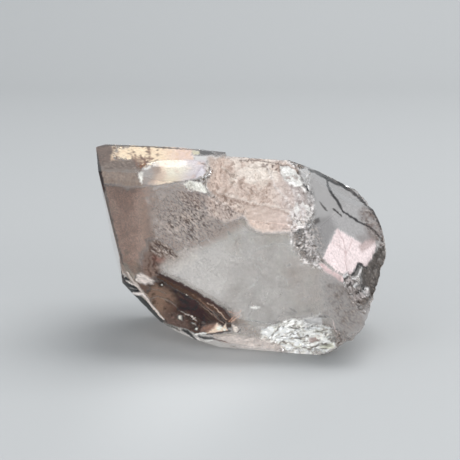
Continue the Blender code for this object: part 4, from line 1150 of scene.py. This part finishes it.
def quartz_material():
    m, t, p, out = new_material("smoky_quartz_glass")
    p.inputs["IOR"].default_value = 1.544
    N, L = t.nodes, t.links
    tone = N.new("ShaderNodeAttribute"); tone.attribute_name = "tone"
    cover = N.new("ShaderNodeAttribute"); cover.attribute_name = "cover"
    matt = N.new("ShaderNodeAttribute"); matt.attribute_name = "matt"
    where = N.new("ShaderNodeTexCoord")
    grit = N.new("ShaderNodeTexNoise")
    grit.inputs["Scale"].default_value = 1900.0
    grit.inputs["Detail"].default_value = 2.0
    grit.inputs["Roughness"].default_value = 0.6
    L.new(where.outputs["Object"], grit.inputs["Vector"])

    def math_node(kind, x, y, z=None):
        n = N.new("ShaderNodeMath"); n.operation = kind
        for i, value in enumerate((x, y, z)):
            if value is None:
                continue
            if isinstance(value, (int, float)):
                n.inputs[i].default_value = value
            else:
                L.new(value, n.inputs[i])
        return n.outputs[0]

    def between(x, low, high):
        n = N.new("ShaderNodeMapRange")
        n.inputs["From Min"].default_value = low
        n.inputs["From Max"].default_value = high
        L.new(x, n.inputs["Value"])
        return n.outputs["Result"]

    # frost thins and thickens with a fine grain, most where it is half thick
    middle = math_node("MULTIPLY", cover.outputs["Fac"], math_node("SUBTRACT", 1.1, cover.outputs["Fac"]))
    level = math_node("MULTIPLY_ADD", grit.outputs["Fac"], 1.4, -0.7)
    frost = math_node("MULTIPLY_ADD", middle, level, cover.outputs["Fac"])
    # fine growth scales: short dashes that run down to the right
    scaly = N.new("ShaderNodeAttribute"); scaly.attribute_name = "scaly"
    turned = N.new("ShaderNodeVectorRotate"); turned.rotation_type = "Y_AXIS"
    turned.inputs["Angle"].default_value = math.radians(-43)
    L.new(where.outputs["Object"], turned.inputs["Vector"])
    squash = N.new("ShaderNodeVectorMath"); squash.operation = "MULTIPLY"
    squash.inputs[1].default_value = (1450, 500, 4000)
    L.new(turned.outputs["Vector"], squash.inputs[0])
    dash = N.new("ShaderNodeTexNoise")
    dash.inputs["Scale"].default_value = 1.0
    dash.inputs["Detail"].default_value = 2.0
    dash.inputs["Distortion"].default_value = 0.35
    L.new(squash.outputs["Vector"], dash.inputs["Vector"])
    darks = math_node("MULTIPLY", between(dash.outputs["Fac"], 0.46, 0.38), scaly.outputs["Fac"])
    lights = math_node("MULTIPLY", between(dash.outputs["Fac"], 0.53, 0.60), scaly.outputs["Fac"])
    # splinters of the broken foot: fine rays, dark gaps and a pale gleam that is painted sparkle
    rays = N.new("ShaderNodeAttribute"); rays.attribute_name = "rays"
    splint = N.new("ShaderNodeAttribute"); splint.attribute_name = "splint"
    ray = N.new("ShaderNodeTexNoise")
    ray.inputs["Scale"].default_value = 1.0
    ray.inputs["Detail"].default_value = 3.0
    ray.inputs["Roughness"].default_value = 0.6
    ray.inputs["Distortion"].default_value = 0.5
    L.new(rays.outputs["Vector"], ray.inputs["Vector"])
    gaps = math_node("MULTIPLY", between(ray.outputs["Fac"], 0.45, 0.37), splint.outputs["Fac"])
    gleam = math_node("MULTIPLY", between(ray.outputs["Fac"], 0.53, 0.59), splint.outputs["Fac"])
    drawn = math_node("MAXIMUM", math_node("MULTIPLY", math_node("MAXIMUM", darks, gaps), 0.85), math_node("MULTIPLY", math_node("MAXIMUM", lights, gleam), 0.82))
    held = N.new("ShaderNodeClamp")
    L.new(math_node("MAXIMUM", frost, drawn), held.inputs["Value"])
    L.new(math_node("SUBTRACT", 1.0, held.outputs["Result"]), p.inputs["Transmission Weight"])

    def mixed(factor, x, y):
        n = N.new("ShaderNodeMix"); n.data_type = "RGBA"
        L.new(factor, n.inputs["Factor"])
        for name, value in (("A", x), ("B", y)):
            if isinstance(value, tuple):
                n.inputs[name].default_value = value
            else:
                L.new(value, n.inputs[name])
        return n.outputs["Result"]

    shade = N.new("ShaderNodeHueSaturation")
    L.new(tone.outputs["Color"], shade.inputs["Color"])
    L.new(math_node("MULTIPLY_ADD", grit.outputs["Fac"], 0.85, 0.57), shade.inputs["Value"])
    grip = N.new("ShaderNodeAttribute"); grip.attribute_name = "grip"
    bend = math_node("MULTIPLY_ADD", grip.outputs["Fac"], -0.48, 0.6)
    ground = mixed(math_node("POWER", held.outputs["Result"], bend), (1, 1, 1, 1), shade.outputs["Color"])
    ground = mixed(darks, ground, (0.075, 0.052, 0.044, 1))
    ground = mixed(lights, ground, (0.52, 0.445, 0.39, 1))
    ground = mixed(math_node("MULTIPLY", gaps, 0.56), ground, (0.15, 0.14, 0.125, 1))
    ground = mixed(math_node("MULTIPLY", gleam, 0.9), ground, (0.96, 0.95, 0.92, 1))
    L.new(ground, p.inputs["Base Color"])
    L.new(matt.outputs["Fac"], p.inputs["Roughness"])
    bump = N.new("ShaderNodeBump")
    bump.inputs["Strength"].default_value = 0.12
    bump.inputs["Distance"].default_value = 0.0002
    fine = N.new("ShaderNodeTexNoise")
    fine.inputs["Scale"].default_value = 420.0
    fine.inputs["Detail"].default_value = 5.0
    L.new(where.outputs["Object"], fine.inputs["Vector"])
    L.new(fine.outputs["Fac"], bump.inputs["Height"])
    L.new(bump.outputs["Normal"], p.inputs["Normal"])
    absorb = N.new("ShaderNodeVolumeAbsorption")
    absorb.inputs["Color"].default_value = (0.62, 0.42, 0.27, 1)
    absorb.inputs["Density"].default_value = 14.0
    L.new(absorb.outputs["Volume"], out.inputs["Volume"])
    return m


def sheet_material(name):
    m, t, p, out = new_material(name)
    N, L = t.nodes, t.links
    p.inputs["Roughness"].default_value = 0.9
    p.inputs["Specular IOR Level"].default_value = 0.0
    col = N.new("ShaderNodeAttribute"); col.attribute_name = "tone"
    cov = N.new("ShaderNodeAttribute"); cov.attribute_name = "cover"
    back = N.new("ShaderNodeBsdfTranslucent")
    clear = N.new("ShaderNodeBsdfTransparent")
    both = N.new("ShaderNodeMixShader"); both.inputs["Fac"].default_value = 0.5
    mix = N.new("ShaderNodeMixShader")
    where = N.new("ShaderNodeTexCoord")
    grit = N.new("ShaderNodeTexNoise")
    grit.inputs["Scale"].default_value = 2100.0
    grit.inputs["Detail"].default_value = 3.0
    grit.inputs["Roughness"].default_value = 0.65
    L.new(where.outputs["Object"], grit.inputs["Vector"])
    level = N.new("ShaderNodeMath"); level.operation = "MULTIPLY_ADD"
    level.inputs[1].default_value = 0.8
    level.inputs[2].default_value = 0.60
    L.new(grit.outputs["Fac"], level.inputs[0])
    shade = N.new("ShaderNodeHueSaturation")
    L.new(col.outputs["Color"], shade.inputs["Color"])
    L.new(level.outputs[0], shade.inputs["Value"])
    L.new(shade.outputs["Color"], p.inputs["Base Color"])
    L.new(shade.outputs["Color"], back.inputs["Color"])
    L.new(p.outputs["BSDF"], both.inputs[1])
    L.new(back.outputs["BSDF"], both.inputs[2])
    L.new(cov.outputs["Fac"], mix.inputs["Fac"])
    L.new(clear.outputs["BSDF"], mix.inputs[1])
    L.new(both.outputs["Shader"], mix.inputs[2])
    L.new(mix.outputs["Shader"], out.inputs["Surface"])
    return m


def sheet_object(name, P, faces, C, A, keep=0.02):
    """A sheet with its colour and cover; faces with no cover are dropped."""
    faces = np.array(faces)
    shown = A[faces].max(axis=1) > keep
    faces = faces[shown]
    used = np.unique(faces)
    back = np.full(len(P), -1)
    back[used] = np.arange(len(used))
    mesh = bpy.data.meshes.new(name)
    mesh.from_pydata((P[used] * MM).tolist(), [], back[faces].tolist())
    put(mesh, "tone", C[used])
    put(mesh, "cover", A[used])
    mesh.shade_smooth()
    return link_object(name, mesh)


crystal = link_object("crystal", build_crystal())
crystal.data.materials.append(quartz_material())
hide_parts(NODE)

P, Q, N, F = veil_grid(0.9, 0.35)
paint = Paint(P, lit_inside(P, N))
under_skin(paint)
veil = sheet_object("inner_marks", Q, F, paint.albedo(), np.clip(paint.A, 0, 1))
veil.data.materials.append(sheet_material("smoky_marks_and_painted_shade"))

cracks = crack_object()
cracks.data.materials.append(sheet_material("crack_walls"))

wisps = wisp_object()
wisps.data.materials.append(sheet_material("healed_cracks"))


# ------------------------------------------------------------------- stage
def sweep():
    bm = bmesh.new()
    depth, radius, front, top, half = 0.95, 0.45, 1.3, 1.9, 1.6
    profile = [(-front, 0.0)]
    for i in range(33):
        a = i / 32 * math.pi / 2
        profile.append((depth - radius + radius * math.sin(a), radius - radius * math.cos(a)))
    profile.append((depth, top))
    rows = [(bm.verts.new((-half, y, z)), bm.verts.new((half, y, z))) for y, z in profile]
    for a, b in zip(rows[:-1], rows[1:]):
        bm.faces.new((a[0], a[1], b[1], b[0]))
    mesh = bpy.data.meshes.new("sweep")
    bm.to_mesh(mesh)
    bm.free()
    mesh.shade_smooth()
    obj = bpy.data.objects.new("sweep", mesh)
    obj.location.z = -0.0001
    bpy.context.scene.collection.objects.link(obj)
    m, t, p, out = new_material("sweep_paper")
    p.inputs["Base Color"].default_value = (0.385, 0.394, 0.398, 1)
    p.inputs["Roughness"].default_value = 0.85
    mesh.materials.append(m)
    return obj


def area(name, where, size, power, color=(1, 1, 1), at=(0, 0, 0.02)):
    light = bpy.data.lights.new(name, "AREA")
    light.shape = "RECTANGLE"
    light.size, light.size_y = size
    light.energy = power
    light.color = color
    obj = bpy.data.objects.new(name, light)
    obj.location = where
    obj.rotation_mode = "QUATERNION"
    obj.rotation_quaternion = (Vector(at) - Vector(where)).to_track_quat("-Z", "Y")
    bpy.context.scene.collection.objects.link(obj)
    return obj


sweep()
world = bpy.data.worlds.new("world")
bpy.context.scene.world = world
world.use_nodes = True
world.node_tree.nodes["Background"].inputs["Color"].default_value = (0.74, 0.77, 0.80, 1)
area("key", tuple(KEY * 1.15), (0.9, 0.9), 12)

area("low_left", (-0.75, -0.65, 0.28), (0.5, 0.4), 3.0)
area("low_right", (0.75, -0.65, 0.28), (0.5, 0.4), 3.0)
pool = bpy.data.lights.new("pool", "SPOT")
pool.energy = 9
pool.spot_size = math.radians(4.6)
pool.spot_blend = 1.0
pool.shadow_soft_size = 0.01
pool_lamp = bpy.data.objects.new("pool", pool)
pool_lamp.location = (-0.16, -0.55, 0.24)
pool_lamp.rotation_mode = "QUATERNION"
pool_lamp.rotation_quaternion = (Vector((-0.008, -0.020, 0.0)) - pool_lamp.location).to_track_quat("-Z", "Y")
bpy.context.scene.collection.objects.link(pool_lamp)

scene = bpy.context.scene
scene.view_settings.view_transform = "Standard"
scene.cycles.max_bounces = 24
scene.cycles.transmission_bounces = 24
scene.cycles.transparent_max_bounces = 24
